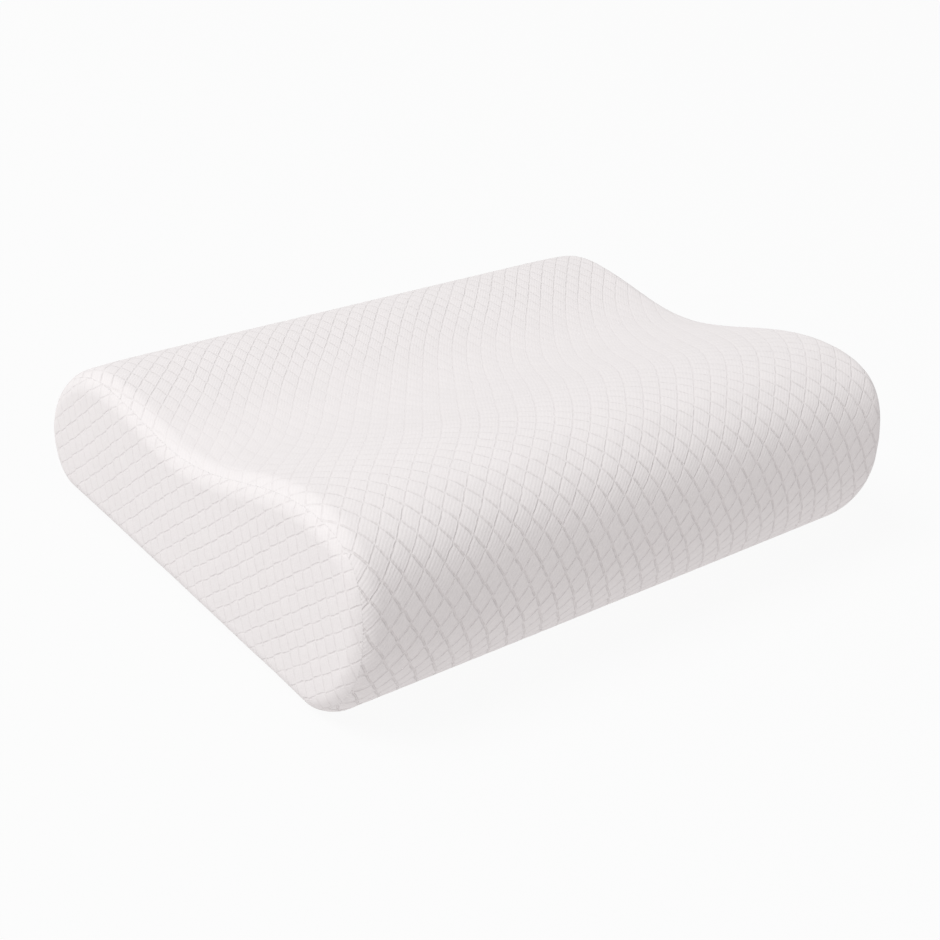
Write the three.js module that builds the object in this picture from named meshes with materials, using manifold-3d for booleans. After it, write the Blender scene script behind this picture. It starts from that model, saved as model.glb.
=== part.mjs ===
// A contour bed pillow: a moulded foam core in a knitted liner, inside a zipped, knitted outer cover.
// Millimetres, +Z up. X runs along the length, the high lobe is at -Y, the low lobe at +Y, and Z = 0 is the
// plane that the pillow rests on. The origin is under the middle of the pillow.
import * as THREE from "three";
import { mergeVertices } from "three/addons/utils/BufferGeometryUtils.js";
import Module from "manifold-3d";

const wasm = await Module();
wasm.setup();

// ---- Overall size ----
const LENGTH = 400;
const DEPTH = 340;
const HIGH_LOBE = 123;
const VALLEY = 91;
const LOW_LOBE = 97;
const FRONT_NOSE_HEIGHT = 64; // where the front face stands furthest forward
const BACK_NOSE_HEIGHT = 35;
const FRONT_FOOT_IN = 50; // from the front nose's plane in to where the flat underside starts
const BACK_FOOT_IN = 28;
const HIGH_CREST_IN = 50; // from the front nose's plane in to the high crest
const LOW_CREST_IN = 73; // from the back nose's plane in to the low crest
const VALLEY_IN = 190; // from the front nose's plane in to the lowest line of the valley
const END_ROUNDING = 13; // radius between the outline and each end face, where the outline's bends allow it

// ---- Layers, from the outside in ----
const COVER_THICKNESS = 2;
const FIT_GAP = 0.3; // between any two pieces that lie on each other
const SLIDER_PLAY = 0.5; // between the slider's inner plate and the curved tapes and liner
const CORE_PLAY = 0.5; // between the liner and the core
const TAPE_THICKNESS = 0.5;
const SLIDER_INNER_PLATE = 0.8;
const LINER_THICKNESS = 0.8;
const SEAM_GAP = 0.6; // between two panels at their seam, on the outside

// ---- Zip, along the back just above its nose ----
const ZIP_ABOVE_NOSE = 8; // measured along the outline
const ZIP_END_MARGIN = 6; // from the coils' ends to where the end rounding starts
const SLOT_HALF_WIDTH = 6; // from the zip's middle line to each panel's edge
const TAPE_WIDTH = 12;
const TAPE_SPLIT = 0.5; // from the middle line to each tape's inner edge
const COIL_WIDTH = 1.8;
const COIL_HEIGHT = 1.4;
const SLIDER_LENGTH = 9;
const SLIDER_WIDTH = 7.6;
const SLIDER_OUTER_PLATE = 1.2;
const SLIDER_FLANGE = 0.8;
const SLIDER_WEB = 0.4;
const BRIDGE_LENGTH = 6.4;
const BRIDGE_WIDTH = 1.6;
const BRIDGE_WALL = 0.8;
const PULL_LENGTH = 24;
const PULL_WIDTH = 6;
const PULL_THICKNESS = 1.2;
const PULL_PLAY = 0.5; // round the pull's cross bar, inside the bridge and beside it
const STOP_LENGTH = 2.4;
const STOP_HEIGHT = 1.6;

// ---- Seam turnings and care label ----
const TURNING_ANGLE = 24; // degrees either side of an end seam
const TURNING_THICKNESS = 0.8;
const FRONT_TURNING = 5; // either side of the front seam, along the outline
const FRONT_SEAM_SHARE = 0.3; // of the front foot's length, from the underside up to the front seam
const LABEL_LENGTH = 30; // along the end seam
const LABEL_REACH = 20; // from the seam along the back
const LABEL_THICKNESS = 0.5;
const LABEL_STAND_OFF = 0.5; // from the cover to the label
const LABEL_ABOVE_ZIP = 8; // from the zip's middle line up to the label's lower edge

// ---- Depths under the cover's outer surface ----
const TAPE_DEPTH = COVER_THICKNESS + FIT_GAP;
const INNER_PLATE_DEPTH = TAPE_DEPTH + TAPE_THICKNESS + SLIDER_PLAY;
const LINER_DEPTH = INNER_PLATE_DEPTH + SLIDER_INNER_PLATE + SLIDER_PLAY;
const CORE_DEPTH = LINER_DEPTH + LINER_THICKNESS + CORE_PLAY;
const COIL_TOP_DEPTH = TAPE_DEPTH - FIT_GAP - COIL_HEIGHT;
const PLATE_DEPTH = COIL_TOP_DEPTH - FIT_GAP; // the inner side of the slider's outer plate

const SEAM_ANGLE = Math.PI / 4; // the end seams lie half way round the end rounding
const SMALL_STEP = 1e-6;
const BEND_SHARE = 0.95; // the most of the outline's tightest bend that the end rounding takes

// ---- Materials ----
const material = (color, roughness, metalness = 0) =>
  new THREE.MeshStandardMaterial({ color, roughness, metalness });
const KNIT = material(0xf1efee, 0.9);
const LINER_KNIT = material(0xe9e9e6, 0.95);
const FOAM = material(0xf2ecd8, 0.95);
const TAPE = material(0xeeeceb, 0.85);
const NYLON = material(0xe8e8e8, 0.45);
const ZIP_METAL = material(0xc9c9cc, 0.3, 0.9);
const LABEL = material(0xf6f5f3, 0.7);

// ---- The outline, seen along X: seven stretches, each level or upright where it meets the next ----
const FRONT = -DEPTH / 2;
const BACK = DEPTH / 2;
const FRONT_FOOT = new THREE.Vector2(FRONT + FRONT_FOOT_IN, 0);
const FRONT_NOSE = new THREE.Vector2(FRONT, FRONT_NOSE_HEIGHT);
const HIGH_CREST = new THREE.Vector2(FRONT + HIGH_CREST_IN, HIGH_LOBE);
const DIP = new THREE.Vector2(FRONT + VALLEY_IN, VALLEY);
const LOW_CREST = new THREE.Vector2(BACK - LOW_CREST_IN, LOW_LOBE);
const BACK_NOSE = new THREE.Vector2(BACK, BACK_NOSE_HEIGHT);
const BACK_FOOT = new THREE.Vector2(BACK - BACK_FOOT_IN, 0);
const LEVEL = new THREE.Vector2(1, 0);
const UPRIGHT = new THREE.Vector2(0, 1);

// A smooth stretch that leaves start and reaches end along the given directions. A fullness is how far it
// keeps to its direction, as a share of the way across or up.
function stretch(start, leaves, startFullness, end, arrives, endFullness, steps) {
  const way = end.clone().sub(start);
  const startHandle = start.clone().addScaledVector(way.clone().multiply(leaves), startFullness);
  const endHandle = end.clone().addScaledVector(way.clone().multiply(arrives), -endFullness);
  return { curve: new THREE.CubicBezierCurve(start, startHandle, endHandle, end), steps };
}

const OUTLINE = {
  frontFoot: stretch(FRONT_FOOT, LEVEL, 0.42, FRONT_NOSE, UPRIGHT, 0.5, 9),
  frontNose: stretch(FRONT_NOSE, UPRIGHT, 0.72, HIGH_CREST, LEVEL, 0.66, 9),
  frontSlope: stretch(HIGH_CREST, LEVEL, 0.34, DIP, LEVEL, 0.36, 8),
  backSlope: stretch(DIP, LEVEL, 0.35, LOW_CREST, LEVEL, 0.42, 5),
  backCrest: stretch(LOW_CREST, LEVEL, 0.58, BACK_NOSE, UPRIGHT, 0.4, 9),
  backFoot: stretch(BACK_NOSE, UPRIGHT, 0.6, BACK_FOOT, LEVEL, 0.5, 8),
  underside: stretch(BACK_FOOT, LEVEL, 0.3, FRONT_FOOT, LEVEL, 0.3, 5),
};

// A point on a stretch and the outline's outward normal there, both as [y, z].
function station({ curve }, t) {
  const p = curve.getPoint(t);
  const along = curve.getTangent(THREE.MathUtils.clamp(t, SMALL_STEP, 1 - SMALL_STEP));
  return { y: p.x, z: p.y, ny: -along.y, nz: along.x };
}

// Where a distance along a stretch falls, as the curve's own parameter.
const atDistance = ({ curve }, distance) => curve.getUtoTmapping(0, distance);

// The stations of one stretch between two parameters, the last one left out unless asked for.
function stations(part, from = 0, to = 1, withEnd = false) {
  const count = Math.max(1, Math.round(part.steps * Math.abs(to - from)));
  const last = withEnd ? count : count - 1;
  return Array.from({ length: last + 1 }, (_, i) => station(part, from + ((to - from) * i) / count));
}

const WHOLE_OUTLINE = Object.values(OUTLINE).flatMap((part) => stations(part));

// The tightest outward bend of the outline. A rounding wider than this would fold over itself.
const BEND_SAMPLES = 200;
function tightestBend() {
  let tightest = Infinity;
  for (const { curve } of Object.values(OUTLINE)) {
    for (let i = 0; i < BEND_SAMPLES; i++) {
      const [a, b] = [i, i + 1].map((n) => station({ curve }, n / BEND_SAMPLES));
      const turn = Math.asin(b.ny * a.nz - b.nz * a.ny);
      const outward = turn > SMALL_STEP;
      if (outward) tightest = Math.min(tightest, Math.hypot(b.y - a.y, b.z - a.z) / turn);
    }
  }
  return tightest;
}
const END_RADIUS = Math.min(END_ROUNDING, tightestBend() * BEND_SHARE);

// A point at a depth under the cover's surface. side is -1 or 1 for the left or right end, and angle runs
// from 0 on the outline's wall to a right angle on the end face. inward moves it towards the middle.
function under(place, side, angle, depth, inward = 0) {
  const radius = END_RADIUS - depth;
  const inset = END_RADIUS - radius * Math.cos(angle);
  return new THREE.Vector3(
    side * (LENGTH / 2 - END_RADIUS - inward + radius * Math.sin(angle)),
    place.y - place.ny * inset,
    place.z - place.nz * inset,
  );
}

// ---- Closed solids from rows of points ----
class Solid {
  constructor() {
    this.points = [];
    this.faces = [];
  }

  addRow(row) {
    const first = this.points.length;
    this.points.push(...row);
    return row.map((_, i) => first + i);
  }

  // Quads between two rows of equal length; a loop's last point joins its first.
  bridge(a, b, loop) {
    const last = loop ? a.length : a.length - 1;
    for (let i = 0; i < last; i++) {
      const j = (i + 1) % a.length;
      this.faces.push([a[i], a[j], b[j]], [a[i], b[j], b[i]]);
    }
  }

  // Fills a row that is a flat loop, seen along X.
  fill(row, reversed) {
    const flat = row.map((i) => new THREE.Vector2(this.points[i].y, this.points[i].z));
    for (const [a, b, c] of THREE.ShapeUtils.triangulateShape(flat, [])) {
      this.faces.push(reversed ? [row[c], row[b], row[a]] : [row[a], row[b], row[c]]);
    }
  }

  volume() {
    return this.faces.reduce((sum, [a, b, c]) => {
      const cross = new THREE.Vector3().crossVectors(this.points[b], this.points[c]);
      return sum + this.points[a].dot(cross) / 6;
    }, 0);
  }

  geometry() {
    const outward = this.volume() > 0;
    const index = this.faces.flatMap(([a, b, c]) => (outward ? [a, b, c] : [a, c, b]));
    const made = new THREE.BufferGeometry().setFromPoints(this.points);
    made.setIndex(index);
    made.computeVertexNormals();
    return made;
  }
}

// A sheet between two depths, over the given outline stations and from row to row of [side, angle, inward].
function sheet(places, rows, outerDepth, innerDepth, loop = false) {
  const solid = new Solid();
  const skin = (depth) => rows.map(([side, angle, inward]) =>
    solid.addRow(places.map((p) => under(p, side, angle, depth, inward))));
  const outer = skin(outerDepth);
  const inner = skin(innerDepth);
  for (let i = 1; i < rows.length; i++) {
    solid.bridge(outer[i - 1], outer[i], loop);
    solid.bridge(inner[i], inner[i - 1], loop);
  }
  solid.bridge(inner[0], outer[0], loop);
  solid.bridge(outer.at(-1), inner.at(-1), loop);
  if (!loop) {
    solid.bridge(outer.map((row) => row[0]), inner.map((row) => row[0]), false);
    solid.bridge(inner.map((row) => row.at(-1)), outer.map((row) => row.at(-1)), false);
  }
  return solid.geometry();
}

// A panel that closes one end, from the seam round onto the flat end face.
function endPanel(side, fromAngle, outerDepth, innerDepth) {
  const solid = new Solid();
  const angles = arc(fromAngle, Math.PI / 2, 2);
  const skin = (depth) => angles.map((a) => solid.addRow(WHOLE_OUTLINE.map((p) => under(p, side, a, depth))));
  const outer = skin(outerDepth);
  const inner = skin(innerDepth);
  for (let i = 1; i < angles.length; i++) {
    solid.bridge(outer[i - 1], outer[i], true);
    solid.bridge(inner[i], inner[i - 1], true);
  }
  solid.bridge(inner[0], outer[0], true);
  solid.fill(outer.at(-1), true);
  solid.fill(inner.at(-1), false);
  return solid.geometry();
}

// A whole body at one depth, closed at both ends.
function block(depth) {
  const solid = new Solid();
  const rows = throughRows(Math.PI / 2, 4).map(([side, angle]) =>
    solid.addRow(WHOLE_OUTLINE.map((p) => under(p, side, angle, depth))));
  for (let i = 1; i < rows.length; i++) solid.bridge(rows[i - 1], rows[i], true);
  solid.fill(rows[0], false);
  solid.fill(rows.at(-1), true);
  return solid.geometry();
}

// Evenly spaced angles from one to another, both included.
function arc(from, to, steps) {
  return Array.from({ length: steps + 1 }, (_, i) => from + ((to - from) * i) / steps);
}

// Rows from the left end's angle along the length to the right end's.
function throughRows(angle, steps) {
  const half = arc(0, angle, steps);
  return [...half.toReversed().map((a) => [-1, a]), ...half.map((a) => [1, a])];
}

// The angle that leaves half the seam's gap at a seam, at the depth where the rounding is tightest.
const seamClearance = (depth) => SEAM_GAP / 2 / (END_RADIUS - depth);

// ---- Assembly ----
const pillow = new THREE.Group();

function add(parent, name, geometry, finish, position = [0, 0, 0]) {
  const mesh = new THREE.Mesh(geometry, finish);
  mesh.name = name;
  mesh.position.set(...position);
  parent.add(mesh);
  return mesh;
}

// Outer cover. The front seam lies where the front face turns under, the zip's slot across the back.
const back = OUTLINE.backCrest;
const zipAt = back.curve.getLength() - ZIP_ABOVE_NOSE;
const foot = OUTLINE.frontFoot;
const footLength = foot.curve.getLength();
const frontSeam = footLength * FRONT_SEAM_SHARE;
const coverRows = throughRows(SEAM_ANGLE - seamClearance(COVER_THICKNESS), 2);
const topPlaces = [
  ...stations(foot, atDistance(foot, frontSeam + SEAM_GAP / 2), 1),
  ...stations(OUTLINE.frontNose),
  ...stations(OUTLINE.frontSlope),
  ...stations(OUTLINE.backSlope),
  ...stations(back, 0, atDistance(back, zipAt - SLOT_HALF_WIDTH), true),
];
const bottomPlaces = [
  ...stations(back, atDistance(back, zipAt + SLOT_HALF_WIDTH), 1),
  ...stations(OUTLINE.backFoot),
  ...stations(OUTLINE.underside),
  ...stations(foot, 0, atDistance(foot, frontSeam - SEAM_GAP / 2), true),
];
add(pillow, "cover_top", sheet(topPlaces, coverRows, 0, COVER_THICKNESS), KNIT);
add(pillow, "cover_bottom", sheet(bottomPlaces, coverRows, 0, COVER_THICKNESS), KNIT);

// Liner wrap: a tube round the core, closed by its own two end panels.
const linerInner = LINER_DEPTH + LINER_THICKNESS;
const linerRows = throughRows(SEAM_ANGLE - seamClearance(linerInner), 2);
add(pillow, "liner_wrap", sheet(WHOLE_OUTLINE, linerRows, LINER_DEPTH, linerInner, true), LINER_KNIT);

for (const [name, side] of [["left", -1], ["right", 1]]) {
  const coverEnd = endPanel(side, SEAM_ANGLE + seamClearance(COVER_THICKNESS), 0, COVER_THICKNESS);
  const linerEnd = endPanel(side, SEAM_ANGLE + seamClearance(linerInner), LINER_DEPTH, linerInner);
  const turning = THREE.MathUtils.degToRad(TURNING_ANGLE);
  const turningRows = arc(SEAM_ANGLE - turning, SEAM_ANGLE + turning, 2).map((a) => [side, a]);
  const turningInner = INNER_PLATE_DEPTH + TURNING_THICKNESS;
  add(pillow, `cover_end_${name}`, coverEnd, KNIT);
  add(pillow, `liner_end_${name}`, linerEnd, LINER_KNIT);
  const seamEnd = sheet(WHOLE_OUTLINE, turningRows, INNER_PLATE_DEPTH, turningInner, true);
  add(pillow, `seam_end_${name}`, seamEnd, KNIT);
}

// The front seam's turnings stop short of those of the end seams.
const straightRows = [[-1, 0], [1, 0]];
const frontTurning = stations(foot, atDistance(foot, frontSeam - FRONT_TURNING),
  atDistance(foot, frontSeam + FRONT_TURNING), true);
const seamFront = sheet(frontTurning, straightRows, TAPE_DEPTH, TAPE_DEPTH + TURNING_THICKNESS);
add(pillow, "seam_front", seamFront, KNIT);

add(pillow, "foam_core", block(CORE_DEPTH), FOAM);

// The outline's station at a distance from the zip's middle line, below it where the distance is positive.
function besideZip(distance) {
  const past = zipAt + distance - back.curve.getLength();
  if (past > 0) return station(OUTLINE.backFoot, atDistance(OUTLINE.backFoot, past));
  return station(back, atDistance(back, zipAt + distance));
}

// Zip tapes: they follow the outline under the cover's edges, and their ends run into the end seams.
const tapeStations = (from, to) => [from, (from + to) / 2, to].map((distance) => besideZip(distance));
const tapeInner = TAPE_DEPTH + TAPE_THICKNESS;
const tape = (from, to) => sheet(tapeStations(from, to), coverRows, TAPE_DEPTH, tapeInner);
add(pillow, "zip_tape_upper", tape(-TAPE_WIDTH, -TAPE_SPLIT), TAPE);
add(pillow, "zip_tape_lower", tape(TAPE_SPLIT, TAPE_WIDTH), TAPE);

// The zip's hardware stands on its own frame: X along the zip, Y down the outline and Z outwards, with the
// cover's outer surface at Z = 0.
const zipPlace = besideZip(0);
const zip = new THREE.Group();
zip.position.set(0, zipPlace.y, zipPlace.z);
zip.rotation.x = Math.atan2(-zipPlace.ny, zipPlace.nz);
pillow.add(zip);

const coilLength = LENGTH - 2 * (END_RADIUS + ZIP_END_MARGIN);
const coilMiddle = TAPE_SPLIT + COIL_WIDTH / 2;
const coilHeight = -COIL_TOP_DEPTH - COIL_HEIGHT / 2;
const COIL_SIDES = 8;
function coil() {
  const tube = new THREE.CylinderGeometry(0.5, 0.5, coilLength, COIL_SIDES).rotateZ(Math.PI / 2);
  return tube.rotateX(Math.PI / COIL_SIDES).scale(1, COIL_WIDTH, COIL_HEIGHT);
}
for (const [name, side] of [["upper", -1], ["lower", 1]]) {
  add(zip, `zip_coil_${name}`, coil(), NYLON, [0, side * coilMiddle, coilHeight]);
}

// Stops: one on each coil where the zip closes, one across both where it opens.
const stopHeight = -TAPE_DEPTH + FIT_GAP + STOP_HEIGHT / 2;
const stopX = coilLength / 2 + FIT_GAP + STOP_LENGTH / 2;
const stop = (width) => new THREE.BoxGeometry(STOP_LENGTH, width, STOP_HEIGHT);
add(zip, "zip_stop_top_upper", stop(COIL_WIDTH), ZIP_METAL, [stopX, -coilMiddle, stopHeight]);
add(zip, "zip_stop_top_lower", stop(COIL_WIDTH), ZIP_METAL, [stopX, coilMiddle, stopHeight]);
add(zip, "zip_stop_bottom", stop(2 * (TAPE_SPLIT + COIL_WIDTH)), ZIP_METAL, [-stopX, 0, stopHeight]);

// Slider: two plates joined by a thin web between the coils, flanges at the sides, and a bridge for the pull.
const plateTop = SLIDER_OUTER_PLATE - PLATE_DEPTH;
const barRadius = PULL_THICKNESS / 2;
const windowHeight = 2 * (barRadius + PULL_PLAY);
const pullHeight = plateTop + windowHeight / 2;
const sliderX = coilLength / 2 - SLIDER_LENGTH / 2;

// The slider's section: Y across the zip, Z outwards.
function sliderSection() {
  const half = SLIDER_WIDTH / 2;
  const web = SLIDER_WEB / 2;
  const inside = half - SLIDER_FLANGE;
  const lip = -TAPE_DEPTH + FIT_GAP;
  const innerFoot = -INNER_PLATE_DEPTH - SLIDER_INNER_PLATE;
  const right = [
    [half, innerFoot], [half, -INNER_PLATE_DEPTH], [web, -INNER_PLATE_DEPTH], [web, -PLATE_DEPTH],
    [inside, -PLATE_DEPTH], [inside, lip], [half, lip], [half, plateTop],
  ];
  const left = right.toReversed().map(([y, z]) => [-y, z]);
  return outlineShape([...right, ...left]);
}

// The bridge over the pull's cross bar: X along the zip, Z outwards. Its feet stand in the outer plate.
function bridgeShape() {
  const half = BRIDGE_LENGTH / 2;
  const inside = half - BRIDGE_WALL;
  const feet = plateTop - SLIDER_OUTER_PLATE / 2;
  const ceiling = plateTop + windowHeight;
  const right = [
    [inside, ceiling], [inside, feet], [half, feet], [half, ceiling], [inside, ceiling + BRIDGE_WALL],
  ];
  const left = right.toReversed().map(([x, z]) => [-x, z]);
  return outlineShape([...right, ...left]);
}

// The pull: X from its cross bar's middle towards its free end, Y across it, with the window for the bridge.
function pullShape() {
  const half = PULL_WIDTH / 2;
  const shape = outlineShape([[-barRadius, -half], [PULL_LENGTH - half, -half]]);
  shape.absarc(PULL_LENGTH - half, 0, half, -Math.PI / 2, Math.PI / 2, false);
  shape.lineTo(-barRadius, half);
  const windowEnd = BRIDGE_LENGTH / 2 + 2 * PULL_PLAY;
  const windowHalf = BRIDGE_WIDTH / 2 + PULL_PLAY;
  shape.holes.push(outlineShape([
    [barRadius, -windowHalf], [barRadius, windowHalf], [windowEnd, windowHalf], [windowEnd, -windowHalf],
  ]));
  return shape;
}

function outlineShape(points) {
  return new THREE.Shape(points.map(([x, y]) => new THREE.Vector2(x, y)));
}

// A shape extruded evenly to both sides of its own plane.
function extruded(shape, depth) {
  const solid = new THREE.ExtrudeGeometry(shape, { depth, bevelEnabled: false, curveSegments: 4 });
  return solid.translate(0, 0, -depth / 2);
}

// Joins closed geometries into one.
function joined(...geometries) {
  const solids = geometries.map((geometry) => {
    const bare = geometry.clone();
    bare.deleteAttribute("normal");
    bare.deleteAttribute("uv");
    const merged = mergeVertices(bare, 1e-4);
    const vertProperties = merged.attributes.position.array;
    return new wasm.Manifold(new wasm.Mesh({ numProp: 3, vertProperties, triVerts: merged.index.array }));
  });
  const mesh = solids.reduce((whole, next) => whole.add(next)).getMesh();
  const made = new THREE.BufferGeometry();
  made.setAttribute("position", new THREE.BufferAttribute(mesh.vertProperties, 3));
  made.setIndex(new THREE.BufferAttribute(mesh.triVerts, 1));
  made.computeVertexNormals();
  return made;
}

// The section's own X and Y become Y and Z, and it runs along X.
const TURN_ALONG = new THREE.Matrix4().set(0, 0, 1, 0, 1, 0, 0, 0, 0, 1, 0, 0, 0, 0, 0, 1);
const sliderBody = extruded(sliderSection(), SLIDER_LENGTH).applyMatrix4(TURN_ALONG);
const bridge = extruded(bridgeShape(), BRIDGE_WIDTH).rotateX(Math.PI / 2);
add(zip, "zip_slider", joined(sliderBody, bridge), ZIP_METAL, [sliderX, 0, 0]);

// The pull lies along the coils, towards the end where the zip opens.
const pull = extruded(pullShape(), PULL_THICKNESS).rotateZ(Math.PI);
add(zip, "zip_pull", pull, ZIP_METAL, [sliderX, 0, pullHeight]);

// Care label: a blank flag sewn into the right end's seam, lying on the back above the zip.
const labelPlaces = [0, 0.25, 0.5, 0.75, 1].map((share) =>
  besideZip(-LABEL_ABOVE_ZIP - LABEL_LENGTH * (1 - share)));
const seamArc = END_RADIUS * SEAM_ANGLE;
const labelRows = [[1, SEAM_ANGLE, 0], [1, SEAM_ANGLE / 2, 0], [1, 0, 0], [1, 0, LABEL_REACH - seamArc]];
const labelDepth = -LABEL_STAND_OFF - LABEL_THICKNESS;
add(pillow, "care_label", sheet(labelPlaces, labelRows, labelDepth, -LABEL_STAND_OFF), LABEL);

export default pillow;
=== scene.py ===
"""Looks of a contour bed pillow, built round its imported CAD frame.

Metres, in the CAD frame: X runs along the length, Y from the high lobe to the low lobe, Z up, and Z = 0 is
the plane that the pillow rests on. The cover's panels follow one form, the outline swept along the length and
rounded over at both ends. A cloth simulation swells that form before the knitted relief is laid on it.
"""

import logging
import math
from dataclasses import dataclass, field
from enum import Enum
from typing import Callable

import bmesh
import bpy
import numpy as np
from mathutils import Matrix, Vector


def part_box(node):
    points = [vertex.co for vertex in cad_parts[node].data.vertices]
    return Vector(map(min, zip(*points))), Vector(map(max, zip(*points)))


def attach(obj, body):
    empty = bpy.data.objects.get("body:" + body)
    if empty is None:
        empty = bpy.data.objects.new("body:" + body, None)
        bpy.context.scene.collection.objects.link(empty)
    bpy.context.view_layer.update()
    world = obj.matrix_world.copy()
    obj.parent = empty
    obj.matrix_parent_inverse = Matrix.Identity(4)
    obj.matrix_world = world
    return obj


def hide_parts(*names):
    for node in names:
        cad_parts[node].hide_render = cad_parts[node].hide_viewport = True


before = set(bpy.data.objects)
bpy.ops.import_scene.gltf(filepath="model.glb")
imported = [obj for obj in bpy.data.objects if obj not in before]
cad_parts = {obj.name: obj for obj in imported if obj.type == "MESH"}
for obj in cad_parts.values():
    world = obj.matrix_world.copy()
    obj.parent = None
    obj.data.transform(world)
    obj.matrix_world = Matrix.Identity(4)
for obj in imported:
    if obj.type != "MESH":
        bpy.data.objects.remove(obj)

LOG = logging.getLogger("pillow")
MM = 0.001
LATTICE = "lattice"
SHARES = "line_shares"
UP = "up"
QUARTER_TURN = math.pi / 2
FULL_TURN = 2 * math.pi
MESH_CREASE = math.radians(60)
PLATE_CREASE = math.radians(40)
BEVEL_FROM = math.radians(30)
FLAT_WITHIN = math.radians(1)
SAME_POINT = 0.01 * MM
WHITE = (1.0, 1.0, 1.0, 1.0)


class Lie(Enum):
    """The direction in which a stretch of the outline leaves or reaches a point, as (Y, Z)."""

    LEVEL = (1.0, 0.0)
    UPRIGHT = (0.0, 1.0)


class End(Enum):
    """The two ends of the pillow, as the sign of their X."""

    LEFT = -1
    RIGHT = 1


# ---------------------------------------------------------------------------------------------------------
# Form: the outline, the surface that it sweeps, and how the padding swells it
# ---------------------------------------------------------------------------------------------------------


@dataclass(frozen=True)
class Stretch:
    """A smooth stretch of the outline. A fullness is how far it keeps its direction, as a share."""

    start: tuple[float, float]
    leaves: Lie
    start_fullness: float
    end: tuple[float, float]
    arrives: Lie
    end_fullness: float

    def sample(self, count: int) -> tuple[np.ndarray, np.ndarray]:
        """Points and unit tangents along the stretch, its end left out.

        Args:
            count: How many points.

        Returns:
            The points and the tangents, each as rows of (y, z).
        """
        t = (np.arange(count) / count)[:, None]
        first, last = np.array(self.start), np.array(self.end)
        way = last - first
        leave = first + way * np.array(self.leaves.value) * self.start_fullness
        reach = last - way * np.array(self.arrives.value) * self.end_fullness
        back = 1 - t
        points = back**3 * first + 3 * back**2 * t * leave + 3 * back * t**2 * reach + t**3 * last
        along = back**2 * (leave - first) + 2 * back * t * (reach - leave) + t**2 * (last - reach)
        return points, along / np.linalg.norm(along, axis=1)[:, None]


@dataclass
class Outline:
    """The pillow's section: a closed line in the YZ plane, from the front foot over the lobes and under."""

    front: float
    back: float
    high_lobe: float
    valley: float = 0.091
    low_lobe: float = 0.097
    front_nose: float = 0.064
    back_nose: float = 0.035
    front_foot_in: float = 0.050
    back_foot_in: float = 0.028
    high_crest_in: float = 0.050
    low_crest_in: float = 0.073
    valley_in: float = 0.190
    samples: int = 240
    front_seam_share: float = 0.3
    zip_above_nose: float = 0.008
    total: float = field(init=False)
    marks: dict[str, float] = field(init=False)
    corners: list[float] = field(init=False)

    def __post_init__(self) -> None:
        """Samples the whole line and finds the distances of its marks and of its four tightest bends."""
        foot, nose = (self.front + self.front_foot_in, 0.0), (self.front, self.front_nose)
        high = (self.front + self.high_crest_in, self.high_lobe)
        dip = (self.front + self.valley_in, self.valley)
        low = (self.back - self.low_crest_in, self.low_lobe)
        tail, heel = (self.back, self.back_nose), (self.back - self.back_foot_in, 0.0)
        level, upright = Lie.LEVEL, Lie.UPRIGHT
        stretches = {
            "front_foot": Stretch(foot, level, 0.42, nose, upright, 0.5),
            "front_nose": Stretch(nose, upright, 0.72, high, level, 0.66),
            "front_slope": Stretch(high, level, 0.34, dip, level, 0.36),
            "back_slope": Stretch(dip, level, 0.35, low, level, 0.42),
            "back_crest": Stretch(low, level, 0.58, tail, upright, 0.4),
            "back_foot": Stretch(tail, upright, 0.6, heel, level, 0.5),
            "underside": Stretch(heel, level, 0.3, foot, level, 0.3),
        }
        parts = [s.sample(self.samples) for s in stretches.values()]
        points = np.vstack([p for p, _ in parts])
        tangents = np.vstack([t for _, t in parts])
        points, tangents = np.vstack([points, points[:1]]), np.vstack([tangents, tangents[:1]])
        steps = np.linalg.norm(np.diff(points, axis=0), axis=1)
        self._run = np.r_[0.0, np.cumsum(steps)]
        self._table = np.c_[points, -tangents[:, 1], tangents[:, 0]]
        self.total = float(self._run[-1])
        ends = {name: float(self._run[(i + 1) * self.samples]) for i, name in enumerate(stretches)}
        self.marks = {
            "front_seam": self.front_seam_share * ends["front_foot"],
            "zip": ends["back_crest"] - self.zip_above_nose,
        }
        turn = np.arccos(np.clip((tangents[1:] * tangents[:-1]).sum(1), -1, 1)) / steps
        self.corners = []
        for name in ("front_foot", "front_nose", "back_crest", "back_foot"):
            first = list(stretches).index(name) * self.samples
            tightest = first + int(np.argmax(turn[first : first + self.samples]))
            self.corners.append(float(self._run[tightest]))

    def at(self, s: np.ndarray) -> tuple[np.ndarray, ...]:
        """The line and its outward normal at distances round it.

        Args:
            s: Distances from the front foot, in metres.

        Returns:
            y, z, and the normal's y and z.
        """
        s = np.mod(s, self.total)
        return tuple(np.interp(s, self._run, column) for column in self._table.T)


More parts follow.
